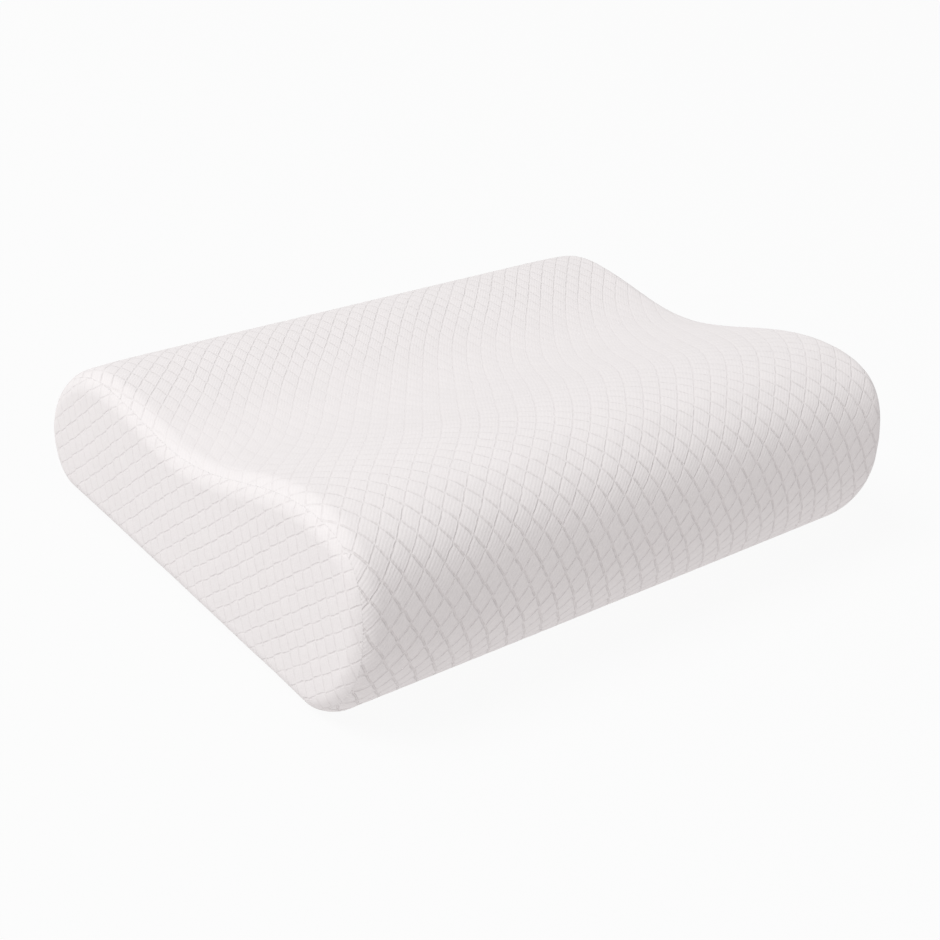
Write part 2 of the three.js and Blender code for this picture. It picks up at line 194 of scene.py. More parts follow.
@dataclass
class Form:
    """The cover's outer surface. u is the distance along the length, measured on past the ends' rounding."""

    outline: Outline
    half_length: float
    rounding: float = 0.013
    along_steps: int = 34
    rise_steps: int = 14

    @property
    def straight(self) -> float:
        """Where the rounding starts, from the middle."""
        return self.half_length - self.rounding

    @property
    def seam(self) -> float:
        """Where the end seams lie, half way round the rounding."""
        return self.straight + self.rounding * QUARTER_TURN / 2

    @property
    def face_edge(self) -> float:
        """Where the flat end face starts."""
        return self.straight + self.rounding * QUARTER_TURN

    def wrap(self, s: np.ndarray, u: np.ndarray, depth: float = 0.0) -> tuple[np.ndarray, np.ndarray]:
        """Points and outward normals of the surface round the outline.

        Args:
            s: Distances round the outline.
            u: Distances along the length.
            depth: How far under the surface.

        Returns:
            The points and the normals, with (x, y, z) last.
        """
        s, u = np.broadcast_arrays(s, u)
        over = np.clip(np.abs(u) - self.straight, 0, None) / self.rounding
        y, z, ny, nz = self.outline.at(s)
        radius = self.rounding - depth
        inset = self.rounding - radius * np.cos(over)
        beyond = np.sign(u) * (self.straight + radius * np.sin(over))
        x = np.where(over > 0, beyond, u)
        points = np.stack([x, y - ny * inset, z - nz * inset], -1)
        normals = np.stack([np.sign(u) * np.sin(over), ny * np.cos(over), nz * np.cos(over)], -1)
        return points, normals

    def ring(self, finer: int = 1) -> np.ndarray:
        """Distances round the outline where the end face's grid meets it, from the front foot's bend on.

        Args:
            finer: How many times finer than the simulated mesh.

        Returns:
            The distances.
        """
        a, b, c, d = self.outline.corners
        rise, along = self.rise_steps * finer, self.along_steps * finer
        sides = ((a, b, rise), (b, c, along), (c, d, rise), (d, a + self.outline.total, along))
        return np.concatenate([np.linspace(p, q, n, endpoint=False) for p, q, n in sides])

    def face_border(self, finer: int = 1) -> list[np.ndarray]:
        """Places in the ring of the face grid's front, top, back and bottom sides, with both corners.

        Args:
            finer: How many times finer than the simulated mesh.

        Returns:
            The places along each side.
        """
        rise, along = self.rise_steps * finer, self.along_steps * finer
        total = 2 * (rise + along)
        front = np.arange(rise + 1)
        top = np.arange(rise, rise + along + 1)
        back = np.arange(2 * rise + along, rise + along - 1, -1)
        bottom = np.arange(total, 2 * rise + along - 1, -1) % total
        return [front, top, back, bottom]

    def face(self, border: np.ndarray, finer: int = 1) -> np.ndarray:
        """Fills the end face with a grid between its four sides.

        Args:
            border: The ring's points.
            finer: How many times finer than the simulated mesh.

        Returns:
            The grid's points, along by rise, its border included.
        """
        front, top, back, bottom = (border[i] for i in self.face_border(finer))
        u = np.linspace(0, 1, len(top))[:, None, None]
        v = np.linspace(0, 1, len(front))[None, :, None]
        sides = (1 - v) * bottom[:, None] + v * top[:, None] + (1 - u) * front[None] + u * back[None]
        low = (1 - u) * (1 - v) * front[0] + u * (1 - v) * back[0]
        return sides - (low + (1 - u) * v * front[-1] + u * v * back[-1])


def cubic_sample(grid: np.ndarray, row: np.ndarray, column: np.ndarray, closed: bool) -> np.ndarray:
    """Reads a coarse grid smoothly between its places.

    Args:
        grid: Rows by columns by values.
        row: The row of each reading, as a fraction.
        column: The column of each reading.
        closed: Whether the columns run on from the last to the first.

    Returns:
        The values at the readings.
    """

    def taps(x: np.ndarray, count: int, around: bool) -> list[tuple[np.ndarray, np.ndarray]]:
        """The four nearest places in one direction, each with its weight.

        Args:
            x: The readings' places.
            count: How many places the grid has.
            around: Whether it runs on round.

        Returns:
            Each place's numbers and weights.
        """
        base = np.floor(x).astype(int)
        f = x - base
        weights = (
            -0.5 * f + f**2 - 0.5 * f**3,
            1 - 2.5 * f**2 + 1.5 * f**3,
            0.5 * f + 2 * f**2 - 1.5 * f**3,
            -0.5 * f**2 + 0.5 * f**3,
        )
        places = [base + step for step in (-1, 0, 1, 2)]
        places = [p % count if around else np.clip(p, 0, count - 1) for p in places]
        return list(zip(places, weights))

    result = np.zeros(np.broadcast(row, column).shape + grid.shape[2:])
    for i, wi in taps(row, grid.shape[0], False):
        for j, wj in taps(column, grid.shape[1], closed):
            result += grid[i, j] * (wi * wj)[..., None]
    return result


@dataclass
class Padding:
    """How the foam swells the cover: a cloth simulation of the whole form, with each point's move capped."""

    form: Form
    step: float = 0.009
    rounding_rows: int = 3
    start_inside: float = 0.0006
    cap: float = 0.0010
    sunk_share: float = 0.15
    slide_share: float = 0.25
    pressure: float = 4.0
    quality: int = 6
    mass: float = 0.3
    stretch_stiffness: float = 18.0
    shear_stiffness: float = 6.0
    bending_stiffness: float = 0.8
    last_frame: int = 20

    def __post_init__(self) -> None:
        """Lays out the coarse mesh and starts with no swelling."""
        half = self.form.straight
        count = round(2 * half / self.step)
        bend = np.linspace(half, self.form.face_edge, self.rounding_rows + 1)[1:]
        self._rows = np.concatenate([-bend[::-1], np.linspace(-half, half, count + 1), bend])
        self._ring = self.form.ring()
        self._wrap = np.zeros((len(self._rows), len(self._ring), 3))
        faces = (self.form.along_steps + 1, self.form.rise_steps + 1, 3)
        self._faces = {end: np.zeros(faces) for end in End}

    def simulate(self) -> None:
        """Runs the cloth and keeps how far each point moved from the form."""
        form = self.form
        points, normals = form.wrap(self._ring[None, :], self._rows[:, None])
        maker = MeshMaker()
        ids = maker.grid(points - normals * self.start_inside, closed=True)
        ends = {}
        for end, row in ((End.LEFT, 0), (End.RIGHT, -1)):
            face = form.face(points[row])
            away = np.broadcast_to(np.array([end.value, 0.0, 0.0]), face.shape)
            ends[end] = face, away, maker.face_grid(face - away * self.start_inside, ids[row], form, 1)
        body = maker.object("padding_trial")
        cloth = body.modifiers.new("swelling", "CLOTH")
        settings = cloth.settings
        settings.quality = self.quality
        settings.mass = self.mass
        settings.tension_stiffness = settings.compression_stiffness = self.stretch_stiffness
        settings.shear_stiffness = self.shear_stiffness
        settings.bending_stiffness = self.bending_stiffness
        settings.use_pressure = True
        settings.uniform_pressure_force = self.pressure
        settings.effector_weights.gravity = 0
        cloth.collision_settings.use_collision = False
        cloth.point_cache.frame_start, cloth.point_cache.frame_end = 1, self.last_frame
        scene = bpy.context.scene
        for number in range(1, self.last_frame + 1):
            scene.frame_set(number)
        evaluated = body.evaluated_get(bpy.context.evaluated_depsgraph_get())
        moved = np.empty(len(evaluated.data.vertices) * 3)
        evaluated.data.vertices.foreach_get("co", moved)
        moved = moved.reshape(-1, 3)
        scene.frame_set(1)
        self._wrap = self._settled(moved[ids] - points, normals)
        for end, (face, away, face_ids) in ends.items():
            self._faces[end] = self._settled(moved[face_ids] - face, away)
        bpy.data.objects.remove(body)
        LOG.info("padding: largest swelling %.2f mm", np.linalg.norm(self._wrap, axis=-1).max() / MM)

    def _settled(self, move: np.ndarray, normals: np.ndarray) -> np.ndarray:
        """Moves that the firm core allows: little inwards or along the surface, and none beyond the cap.

        Args:
            move: How far the cloth moved each point.
            normals: The outward normals there.

        Returns:
            The moves that are kept.
        """
        out = (move * normals).sum(-1, keepdims=True)
        slide = move - out * normals
        move = np.where(out > 0, out, out * self.sunk_share) * normals + slide * self.slide_share
        size = np.linalg.norm(move, axis=-1, keepdims=True)
        return move * np.tanh(size / self.cap) * self.cap / np.maximum(size, 1e-9)

    def on_wrap(self, s: np.ndarray, u: np.ndarray) -> np.ndarray:
        """The swelling at places round the outline.

        Args:
            s: Distances round the outline.
            u: Distances along the length.

        Returns:
            The move of each place.
        """
        s, u = np.broadcast_arrays(s, u)
        total = self.form.outline.total
        stations = np.r_[self._ring, self._ring[0] + total]
        round_s = (s - self._ring[0]) % total + self._ring[0]
        column = np.interp(round_s, stations, np.arange(len(stations)))
        row = np.interp(u, self._rows, np.arange(len(self._rows)))
        return cubic_sample(self._wrap, row, column, True)

    def on_face(self, end: End, finer: int) -> np.ndarray:
        """The swelling over an end face's grid.

        Args:
            end: Which end.
            finer: How many times finer than the simulated mesh.

        Returns:
            The move of each point of the grid.
        """
        along, rise = self.form.along_steps * finer + 1, self.form.rise_steps * finer + 1
        row, column = np.meshgrid(np.arange(along) / finer, np.arange(rise) / finer, indexing="ij")
        return cubic_sample(self._faces[end], row, column, False)


# ---------------------------------------------------------------------------------------------------------
# Mesh making
# ---------------------------------------------------------------------------------------------------------


def in_scene(name: str, data: bpy.types.ID) -> bpy.types.Object:
    """Makes an object of a mesh, light or camera, and puts it in the scene.

    Args:
        name: The object's name.
        data: The mesh, light or camera.

    Returns:
        The object.
    """
    made = bpy.data.objects.new(name, data)
    bpy.context.scene.collection.objects.link(made)
    return made


def baked(host: bpy.types.Object, name: str) -> bpy.types.Mesh:
    """The host's mesh with its modifiers applied, under a new name.

    Args:
        host: The object that has the modifiers.
        name: The new mesh's name.

    Returns:
        The mesh.
    """
    evaluated = host.evaluated_get(bpy.context.evaluated_depsgraph_get())
    mesh = bpy.data.meshes.new_from_object(evaluated)
    mesh.name = name
    return mesh


def borders_of(grid: np.ndarray) -> list[np.ndarray]:
    """A grid's four borders, one after another round it."""
    return [grid[0], grid[:, -1], grid[-1, ::-1], grid[::-1, 0]]


class MeshMaker:
    """Collects points and faces, then makes one mesh object of them."""

    def __init__(self) -> None:
        """Starts empty."""
        self.points: list[np.ndarray] = []
        self.lines: list[np.ndarray] = []
        self.faces: list[list[int]] = []
        self.count = 0

    def add(self, points: np.ndarray, lines: np.ndarray | None = None) -> np.ndarray:
        """Adds points.

        Args:
            points: The points, with (x, y, z) last.
            lines: The knit's two line numbers at each point, then each set of lines' depth as a share.

        Returns:
            The points' numbers, in the same arrangement.
        """
        flat = points.reshape(-1, 3)
        ids = np.arange(self.count, self.count + len(flat)).reshape(points.shape[:-1])
        self.points.append(flat)
        self.lines.append(np.zeros((len(flat), 4)) if lines is None else lines.reshape(-1, 4))
        self.count += len(flat)
        return ids

    def quads(self, ids: np.ndarray) -> None:
        """Adds a quad between each four neighbours of a grid of point numbers."""
        around = np.stack([ids[:-1, :-1], ids[1:, :-1], ids[1:, 1:], ids[:-1, 1:]], -1)
        self.faces.extend(around.reshape(-1, 4).tolist())

    def grid(
        self, points: np.ndarray, lines: np.ndarray | None = None, closed: bool = False
    ) -> np.ndarray:
        """Adds a grid of points and its faces.

        Args:
            points: Rows by columns by (x, y, z).
            lines: The knit's line numbers and shares at each point.
            closed: Whether the columns run on from the last to the first.

        Returns:
            The points' numbers.
        """
        ids = self.add(points, lines)
        self.quads(np.concatenate([ids, ids[:, :1]], 1) if closed else ids)
        return ids

    def face_grid(
        self, points: np.ndarray, ring: np.ndarray, form: Form, finer: int, lines: np.ndarray | None = None
    ) -> np.ndarray:
        """Adds an end face's grid inside a ring of points that is already there.

        Args:
            points: The grid's points, its border included.
            ring: The numbers of the ring's points.
            form: The form, which knows how the grid meets the ring.
            finer: How many times finer than the simulated mesh.
            lines: The knit's line numbers and shares at each point of the grid.

        Returns:
            The grid's numbers.
        """
        ids = np.empty(points.shape[:2], int)
        inner = None if lines is None else lines[1:-1, 1:-1]
        ids[1:-1, 1:-1] = self.add(points[1:-1, 1:-1], inner)
        front, top, back, bottom = form.face_border(finer)
        ids[0, :], ids[:, -1] = ring[front], ring[top]
        ids[-1, :], ids[:, 0] = ring[back], ring[bottom]
        self.quads(ids)
        return ids

    def skirt(self, fine: np.ndarray, coarse: np.ndarray) -> None:
        """Joins a fine border to a coarse one, whose points are a fixed number of the fine one's apart.

        Args:
            fine: The numbers of the fine border's points.
            coarse: Those of the coarse border's.
        """
        ratio = (len(fine) - 1) // (len(coarse) - 1)
        for k in range(len(coarse) - 1):
            first, middle, last = k * ratio, k * ratio + ratio // 2, (k + 1) * ratio
            self.faces.append([int(fine[middle]), int(coarse[k + 1]), int(coarse[k])])
            for i in range(first, last):
                self.faces.append([int(fine[i]), int(fine[i + 1]), int(coarse[k + (i >= middle)])])

    def object(self, name: str) -> bpy.types.Object:
        """Makes the mesh object, shaded smooth and with all faces pointing outwards.

        Args:
            name: The object's name.

        Returns:
            The object, in the scene.
        """
        mesh = bpy.data.meshes.new(name)
        mesh.from_pydata(np.vstack(self.points).tolist(), [], self.faces)
        mesh.validate()
        lattice = np.vstack(self.lines)
        if lattice.any():
            for label, pair in ((LATTICE, lattice[:, :2]), (SHARES, lattice[:, 2:])):
                store_vectors(mesh, label, np.c_[pair, np.zeros(len(pair))])
        made = in_scene(name, mesh)
        face_outwards(made)
        mesh.shade_smooth()
        mesh.set_sharp_from_angle(angle=MESH_CREASE)
        return made


def store_vectors(mesh: bpy.types.Mesh, label: str, values: np.ndarray) -> None:
    """Keeps a vector for each point of a mesh, as an attribute.

    Args:
        mesh: The mesh.
        label: The attribute's name.
        values: A row of three numbers for each point.
    """
    layer = mesh.attributes.new(label, "FLOAT_VECTOR", "POINT")
    layer.data.foreach_set("vector", values.astype(np.float32).ravel())


def face_outwards(piece: bpy.types.Object) -> None:
    """Makes a closed mesh's faces agree with each other and point outwards.

    Args:
        piece: The object whose mesh it is.
    """
    work = bmesh.new()
    work.from_mesh(piece.data)
    bmesh.ops.recalc_face_normals(work, faces=work.faces)
    if work.calc_volume(signed=True) < 0:
        bmesh.ops.reverse_faces(work, faces=work.faces)
    work.to_mesh(piece.data)
    work.free()


def tube(path: np.ndarray, radius: float, sides: int) -> MeshMaker:
    """A round rod along a path, with closed ends.

    Args:
        path: The points of its middle line.
        radius: Its radius.
        sides: How many sides its section has.

    Returns:
        The maker that holds it.
    """
    along = np.gradient(path, axis=0)
    along /= np.linalg.norm(along, axis=1)[:, None]
    spread = path.max(0) - path.min(0)
    up = np.eye(3)[int(np.argmin(spread))]
    across = np.cross(along, up)
    across /= np.linalg.norm(across, axis=1)[:, None]
    other = np.cross(along, across)
    angle = (np.arange(sides) * FULL_TURN / sides)[None, :, None]
    turn = across[:, None] * np.cos(angle) + other[:, None] * np.sin(angle)
    maker = MeshMaker()
    ids = maker.grid(path[:, None] + radius * turn, closed=True)
    maker.faces.append(ids[0].tolist())
    maker.faces.append(ids[-1][::-1].tolist())
    return maker


# ---------------------------------------------------------------------------------------------------------
# Finishes
# ---------------------------------------------------------------------------------------------------------


class Graph:
    """A short way to write a shader's nodes."""

    def __init__(self, name: str) -> None:
        """Starts a material with one Principled shader."""
        self.material = bpy.data.materials.new(name)
        self.material.use_nodes = True
        self.nodes = self.material.node_tree.nodes
        self.links = self.material.node_tree.links
        self.shader = self.nodes["Principled BSDF"]

    def node(self, kind: str, settings: dict | None = None, **inputs: object) -> bpy.types.Node:
        """Adds a node.

        Args:
            kind: Its type's name without the prefix.
            settings: Its properties.
            **inputs: Its inputs by name, each a value or another node's output.

        Returns:
            The node.
        """
        made = self.nodes.new("ShaderNode" + kind)
        for key, value in (settings or {}).items():
            setattr(made, key, value)
        for key, value in inputs.items():
            self.feed(made.inputs[key.replace("_", " ")], value)
        return made

    def feed(self, socket: bpy.types.NodeSocket, value: object) -> None:
        """Sets a socket, or links another node's output to it.

        Args:
            socket: The input.
            value: A number, a colour or another node's output.
        """
        if isinstance(value, bpy.types.NodeSocket):
            self.links.new(value, socket)
        else:
            socket.default_value = value

    def math(self, operation: str, *values: object) -> bpy.types.NodeSocket:
        """A Math node's result.

        Args:
            operation: What the node does.
            *values: Its inputs, each a number or an output.

        Returns:
            Its output.
        """
        made = self.nodes.new("ShaderNodeMath")
        made.operation = operation
        for socket, value in zip(made.inputs, values):
            self.feed(socket, value)
        return made.outputs[0]

    def times(self, first: object, second: object) -> bpy.types.NodeSocket:
        """Two values multiplied."""
        return self.math("MULTIPLY", first, second)

    def onto(self, base: object, value: object, share: object) -> bpy.types.NodeSocket:
        """A value times its share, added to a base."""
        return self.math("MULTIPLY_ADD", value, share, base)

    def wave(self, value: object, length: float) -> bpy.types.NodeSocket:
        """A sine of the value, with one wave for each length."""
        return self.math("SINE", self.times(value, FULL_TURN / length))

    def parts(self, vector: object) -> bpy.types.NodeOutputs:
        """A vector's X, Y and Z."""
        return self.node("SeparateXYZ", Vector=vector).outputs

    def own(self, label: str) -> bpy.types.NodeSocket:
        """The piece's own vector attribute."""
        return self.node("Attribute", {"attribute_name": label}).outputs["Vector"]

    def ramp(
        self, value: object, low: float, high: float, to_low: float, to_high: float
    ) -> bpy.types.NodeSocket:
        """A value carried smoothly from one span to another.

        Args:
            value: The value.
            low: Where the first span starts.
            high: Where it stops.
            to_low: The result at its start.
            to_high: The result at its end.

        Returns:
            The result.
        """
        made = self.node("MapRange", {"interpolation_type": "SMOOTHSTEP"}, Value=value)
        for name, number in (("From Min", low), ("From Max", high), ("To Min", to_low), ("To Max", to_high)):
            made.inputs[name].default_value = number
        return made.outputs["Result"]

    def blend(
        self, share: object, first: object, second: object, kind: str = "MIX"
    ) -> bpy.types.NodeSocket:
        """Two colours mixed, through the Mix node's colour sockets.

        Args:
            share: How much of the second colour.
            first: The first colour.
            second: The second colour.
            kind: How they are mixed.

        Returns:
            The mixed colour.
        """
        made = self.node("Mix", {"data_type": "RGBA", "blend_type": kind})
        for number, value in ((0, share), (6, first), (7, second)):
            self.feed(made.inputs[number], value)
        return made.outputs[2]

    def shaded(self, colour: object, shade: object) -> bpy.types.NodeSocket:
        """A colour darkened or lightened by a shade around 1."""
        grey = self.node("CombineXYZ", X=shade, Y=shade, Z=shade).outputs[0]
        return self.blend(1.0, colour, grey, "MULTIPLY")

    def noise(self, place: object, scale: float, detail: float = 2.0) -> bpy.types.NodeSocket:
        """A noise texture's value."""
        return self.node("TexNoise", Vector=place, Scale=scale, Detail=detail).outputs[0]

    def object_place(self) -> bpy.types.NodeSocket:
        """The place on the object."""
        return self.node("TexCoord").outputs["Object"]

    def finish(self, colour: object, height: object, **inputs: object) -> bpy.types.Material:
        """Feeds the shader and returns the material.

        Args:
            colour: The base colour.
            height: The relief's height in metres.
            **inputs: The shader's other inputs: a number set on its own socket, or an output if it varies.

        Returns:
            The material.
        """
        self.feed(self.shader.inputs["Base Color"], colour)
        bump = self.node("Bump", Height=height, Distance=1.0, Strength=1.0)
        self.links.new(bump.outputs[0], self.shader.inputs["Normal"])
        for key, value in inputs.items():
            self.feed(self.shader.inputs[key.replace("_", " ")], value)
        return self.material


Colour = tuple[float, float, float, float]


@dataclass(frozen=True)
class JacquardKnit:
    """The cover's double knit: square cells on the bias between sunk lines, with fine ribs across each cell.

    Widths are shares of a cell, depths and heights are metres, and scales are those of noise on the object.
    """

    pile: Colour = (0.752, 0.706, 0.706, 1.0)
    # sunk is painted shade: the lines' darker colour stands for the shade in their grooves.
    sunk: Colour = (0.700, 0.650, 0.648, 1.0)
    strong_width: float = 0.090
    fine_width: float = 0.085
    strong_depth: float = 0.00027
    fine_depth: float = 0.00022
    strong_painted_shade: float = 0.9
    fine_painted_shade: float = 0.8
    stagger: float = 0.05
    crossing_width: float = 0.13
    strong_at_crossing: float = 0.35
    fine_at_crossing: float = 0.45
    ribs: int = 5
    rib_height: float = 0.000030
    rib_painted_shade: float = 0.009
    loops_per_rib: float = 1.3
    loop_share: float = 0.35
    streak_stretch: tuple[float, float] = (2.2, 11.0)
    streak_height: float = 2.5
    streak_shade: float = 0.045
    waver: float = 0.13
    waver_scale: float = 170.0
    patchiness: float = 0.6
    patch_scale: float = 290.0
    patch_span: tuple[float, float] = (0.34, 0.66)
    mottling: float = 0.08
    mottle_scale: float = 420.0
    fuzz_scale: float = 1100.0
    fuzz_height: float = 0.00010
    drift_scale: float = 22.0
    drift_shade: float = 0.03
    dome: float = 0.00008
    cell_shade: float = 0.010

    def relief(self, lattice: np.ndarray) -> np.ndarray:
        """The cells' soft doming, for the mesh itself.

        Args:
            lattice: The two line numbers of each point.

        Returns:
            The height of each point, in metres, nowhere above zero.
        """
        a, b = np.cos(FULL_TURN * lattice[..., 0]), np.cos(FULL_TURN * lattice[..., 1])
        return -self.dome * ((1 + a) / 2 + (1 + b) / 2)

    def material(self) -> bpy.types.Material:
        """The knit's shader, which reads the cells from the piece's own attributes."""
        g = Graph("cover_knit")
        place = g.object_place()
        lattice, shares = g.parts(g.own(LATTICE)), g.parts(g.own(SHARES))
        uneven = g.node("TexNoise", Vector=place, Scale=self.waver_scale, Detail=1.0).outputs["Color"]
        waver = g.parts(uneven)
        fine = g.onto(lattice[1], waver[1], self.waver)
        odd = g.math("FLOORED_MODULO", g.math("FLOOR", fine), 2.0)
        strong = g.onto(g.onto(lattice[0], waver[0], self.waver), odd, self.stagger)

        strong_off, fine_off = g.math("PINGPONG", strong, 0.5), g.math("PINGPONG", fine, 0.5)
        dash = g.ramp(fine_off, 0.02, self.crossing_width, self.strong_at_crossing, 1.0)
        gap = g.ramp(strong_off, 0.02, self.crossing_width, self.fine_at_crossing, 1.0)
        patches = g.noise(place, self.patch_scale)
        worn = g.ramp(patches, *self.patch_span, 1 - self.patchiness / 2, 1 + self.patchiness / 2)
        strong_line = g.times(g.ramp(strong_off, 0.01, self.strong_width, 1.0, 0.0), dash)
        strong_line = g.times(strong_line, g.times(shares[0], worn))
        fine_line = g.times(g.ramp(fine_off, 0.0, self.fine_width, 1.0, 0.0), gap)
        fine_line = g.times(fine_line, g.times(shares[1], worn))

        rib = g.wave(fine, 1 / self.ribs)
        loop = g.wave(strong, 1 / (self.ribs * self.loops_per_rib))
        long, short = self.streak_stretch
        drawn = g.node("CombineXYZ", X=g.times(strong, long), Y=g.times(fine, short)).outputs[0]
        streak = g.math("SUBTRACT", g.noise(drawn, 1.0, 3.0), 0.5)
        yarn = g.times(g.onto(g.onto(rib, loop, self.loop_share), streak, self.streak_height), shares[1])

        height = g.times(yarn, self.rib_height)
        height = g.onto(height, strong_line, -self.strong_depth)
        height = g.onto(height, fine_line, -self.fine_depth)
        height = g.onto(height, g.noise(place, self.fuzz_scale), self.fuzz_height)

        cells = g.node("CombineXYZ", X=g.math("FLOOR", strong), Y=g.math("FLOOR", fine)).outputs[0]
        chance = g.node("TexWhiteNoise", {"noise_dimensions": "2D"}, Vector=cells).outputs["Value"]
        mottle = g.times(g.math("SUBTRACT", g.noise(place, self.mottle_scale), 0.5), shares[0])
        shade = g.onto(1.0, chance, -self.cell_shade)
        shade = g.onto(shade, g.noise(place, self.drift_scale), -self.drift_shade)
        # Painted shade: the ribs are painted lighter on their crests and darker between them, in step with
        # their relief.
        shade = g.onto(shade, rib, self.rib_painted_shade)
        shade = g.onto(shade, streak, self.streak_shade)
        shade = g.onto(shade, mottle, self.mottling)

        # Painted shade: each set of lines is blended towards the sunk colour by its depth share, as the shade
        # in its grooves.
        lines = g.math("MAXIMUM", g.times(strong_line, self.strong_painted_shade), g.times(fine_line, self.fine_painted_shade))
        colour = g.shaded(g.blend(lines, self.pile, self.sunk), shade)
        return g.finish(
            colour, height, Roughness=0.88, Specular_IOR_Level=0.25, Sheen_Weight=0.12, Sheen_Roughness=0.6
        )


@dataclass(frozen=True)
class PlainKnit:
    """A fine jersey, for the liner."""

    name: str = "liner_knit"
    colour: Colour = (0.83, 0.82, 0.80, 1.0)
    stitch: float = 0.0011
    stitch_aspect: float = 1.4
    loop_height: float = 0.00006
    loop_painted_shade: float = 0.03

    def material(self) -> bpy.types.Material:
        """Rows of small loops on the object's own place."""
        g = Graph(self.name)
        x, y, z = g.parts(g.object_place())
        rows = g.wave(g.math("ADD", y, z), self.stitch * self.stitch_aspect)
        loops = g.times(g.wave(x, self.stitch), rows)
        # Painted shade: the loops are painted lighter where they rise and darker between them.
        colour = g.shaded(self.colour, g.onto(0.96, loops, self.loop_painted_shade))
        return g.finish(colour, g.times(loops, self.loop_height), Roughness=0.9, Sheen_Weight=0.1)


@dataclass(frozen=True)
class SlowFoam:
    """The moulded core: cream foam with fine open cells under a thin skin."""

    name: str = "foam"
    colour: Colour = (0.84, 0.79, 0.66, 1.0)
    # pore is painted shade: the darker colour inside the open pores.
    pore: Colour = (0.66, 0.58, 0.42, 1.0)
    pore_scale: float = 900.0
    pore_depth: float = 0.00015
    patch_scale: float = 60.0

    def material(self) -> bpy.types.Material:
        """Small pores, a few of them open."""
        g = Graph(self.name)
        place = g.object_place()
        pores = g.node("TexVoronoi", Vector=place, Scale=self.pore_scale).outputs["Distance"]
        open_pores = g.ramp(pores, 0.1, 0.35, 1.0, 0.0)
        # Painted shade: the open pores, which also sink in the relief, get the darker pore colour.
        colour = g.blend(g.times(open_pores, g.noise(place, self.patch_scale)), self.colour, self.pore)
        return g.finish(colour, g.times(open_pores, -self.pore_depth), Roughness=0.82)


@dataclass(frozen=True)
class WovenTape:
    """The zip's tapes: a herringbone twill."""

    name: str = "zip_tape"
    colour: Colour = (0.81, 0.785, 0.778, 1.0)
    thread: float = 0.0007
    stripe: float = 0.0028
    twill_height: float = 0.00008
    twill_painted_shade: float = 0.06

    def material(self) -> bpy.types.Material:
        """Slanting threads that turn at each stripe."""
        g = Graph(self.name)
        x, _, z = g.parts(g.object_place())
        twill = g.wave(g.math("ADD", x, g.math("PINGPONG", z, self.stripe)), self.thread)
        # Painted shade: the twill is painted lighter on its raised threads and darker between them.
        colour = g.shaded(self.colour, g.onto(0.93, twill, self.twill_painted_shade))
        return g.finish(colour, g.times(twill, self.twill_height), Roughness=0.8, Sheen_Weight=0.1)


@dataclass(frozen=True)
class Nylon:
    """Smooth off-white plastic, for the zip's coils and for sewing thread."""

    name: str = "zip_nylon"
    colour: Colour = (0.82, 0.81, 0.79, 1.0)
    roughness: float = 0.38
    twist: float = 0.0
    twist_height: float = 0.00003
    haze_scale: float = 700.0
    haze_height: float = 0.00002
    haze_share: float = 0.3
    haze_shade: float = 0.85

    def material(self) -> bpy.types.Material:
        """A little haze, and a thread's twist where it has one."""
        g = Graph(self.name)
        place = g.object_place()
        haze = g.noise(place, self.haze_scale)
        darker = tuple(c * self.haze_shade for c in self.colour[:3]) + (1.0,)
        colour = g.blend(g.times(haze, self.haze_share), self.colour, darker)
        height = g.times(haze, self.haze_height)
        if self.twist:
            x, y, z = g.parts(place)
            run = g.math("ADD", x, g.math("ADD", y, z))
            height = g.onto(height, g.wave(run, self.twist), self.twist_height)
        return g.finish(colour, height, Roughness=self.roughness, Specular_IOR_Level=0.45)


@dataclass(frozen=True)
class PlatedMetal:
    """The slider's nickel plate, rubbed along its edges, with fine scratches."""

    name: str = "zip_metal"
    colour: Colour = (0.62, 0.62, 0.64, 1.0)
    rubbed: Colour = (0.80, 0.78, 0.74, 1.0)
    scuff_scale: float = 420.0
    scuff_roughness: float = 0.22
    roughness: float = 0.2
    scratch_scale: tuple[float, float, float] = (300.0, 5200.0, 2600.0)
    scratch_height: float = 0.00001

    def material(self) -> bpy.types.Material:
        """Edge wear from the mesh's own corners, haze and scratches."""
        g = Graph(self.name)
        place = g.object_place()
        edge = g.ramp(g.node("NewGeometry").outputs["Pointiness"], 0.51, 0.58, 0.0, 1.0)
        scuffs = g.noise(place, self.scuff_scale, 4.0)
        worn = g.times(edge, g.ramp(scuffs, 0.35, 0.6, 0.2, 1.0))
        colour = g.blend(worn, self.colour, self.rubbed)
        stretched = g.node("Mapping", Vector=place, Scale=self.scratch_scale).outputs[0]
        height = g.times(g.noise(stretched, 1.0, 3.0), self.scratch_height)
        rough = g.onto(self.roughness, scuffs, self.scuff_roughness)
        return g.finish(colour, height, Metallic=1.0, Roughness=rough)


@dataclass(frozen=True)
class SatinLabel:
    """A blank satin-woven care label."""

    name: str = "label"
    colour: Colour = (0.84, 0.825, 0.815, 1.0)
    thread: float = 0.0005
    weave_height: float = 0.00003
    weave_painted_shade: float = 0.02

    def material(self) -> bpy.types.Material:
        """Fine weft floats across the label."""
        g = Graph(self.name)
        x, _, z = g.parts(g.object_place())
        weft, warp = g.wave(z, self.thread), g.wave(x, 2 * self.thread)
        weave = g.onto(weft, g.times(weft, warp), 0.5)
        # Painted shade: the weave is painted lighter where its floats rise and darker between them.
        colour = g.shaded(self.colour, g.onto(0.96, weave, self.weave_painted_shade))
        return g.finish(colour, g.times(weave, self.weave_height), Roughness=0.42, Sheen_Weight=0.2)


# ---------------------------------------------------------------------------------------------------------
# Geometry Nodes: rows of coil turns and of stitches
# ---------------------------------------------------------------------------------------------------------


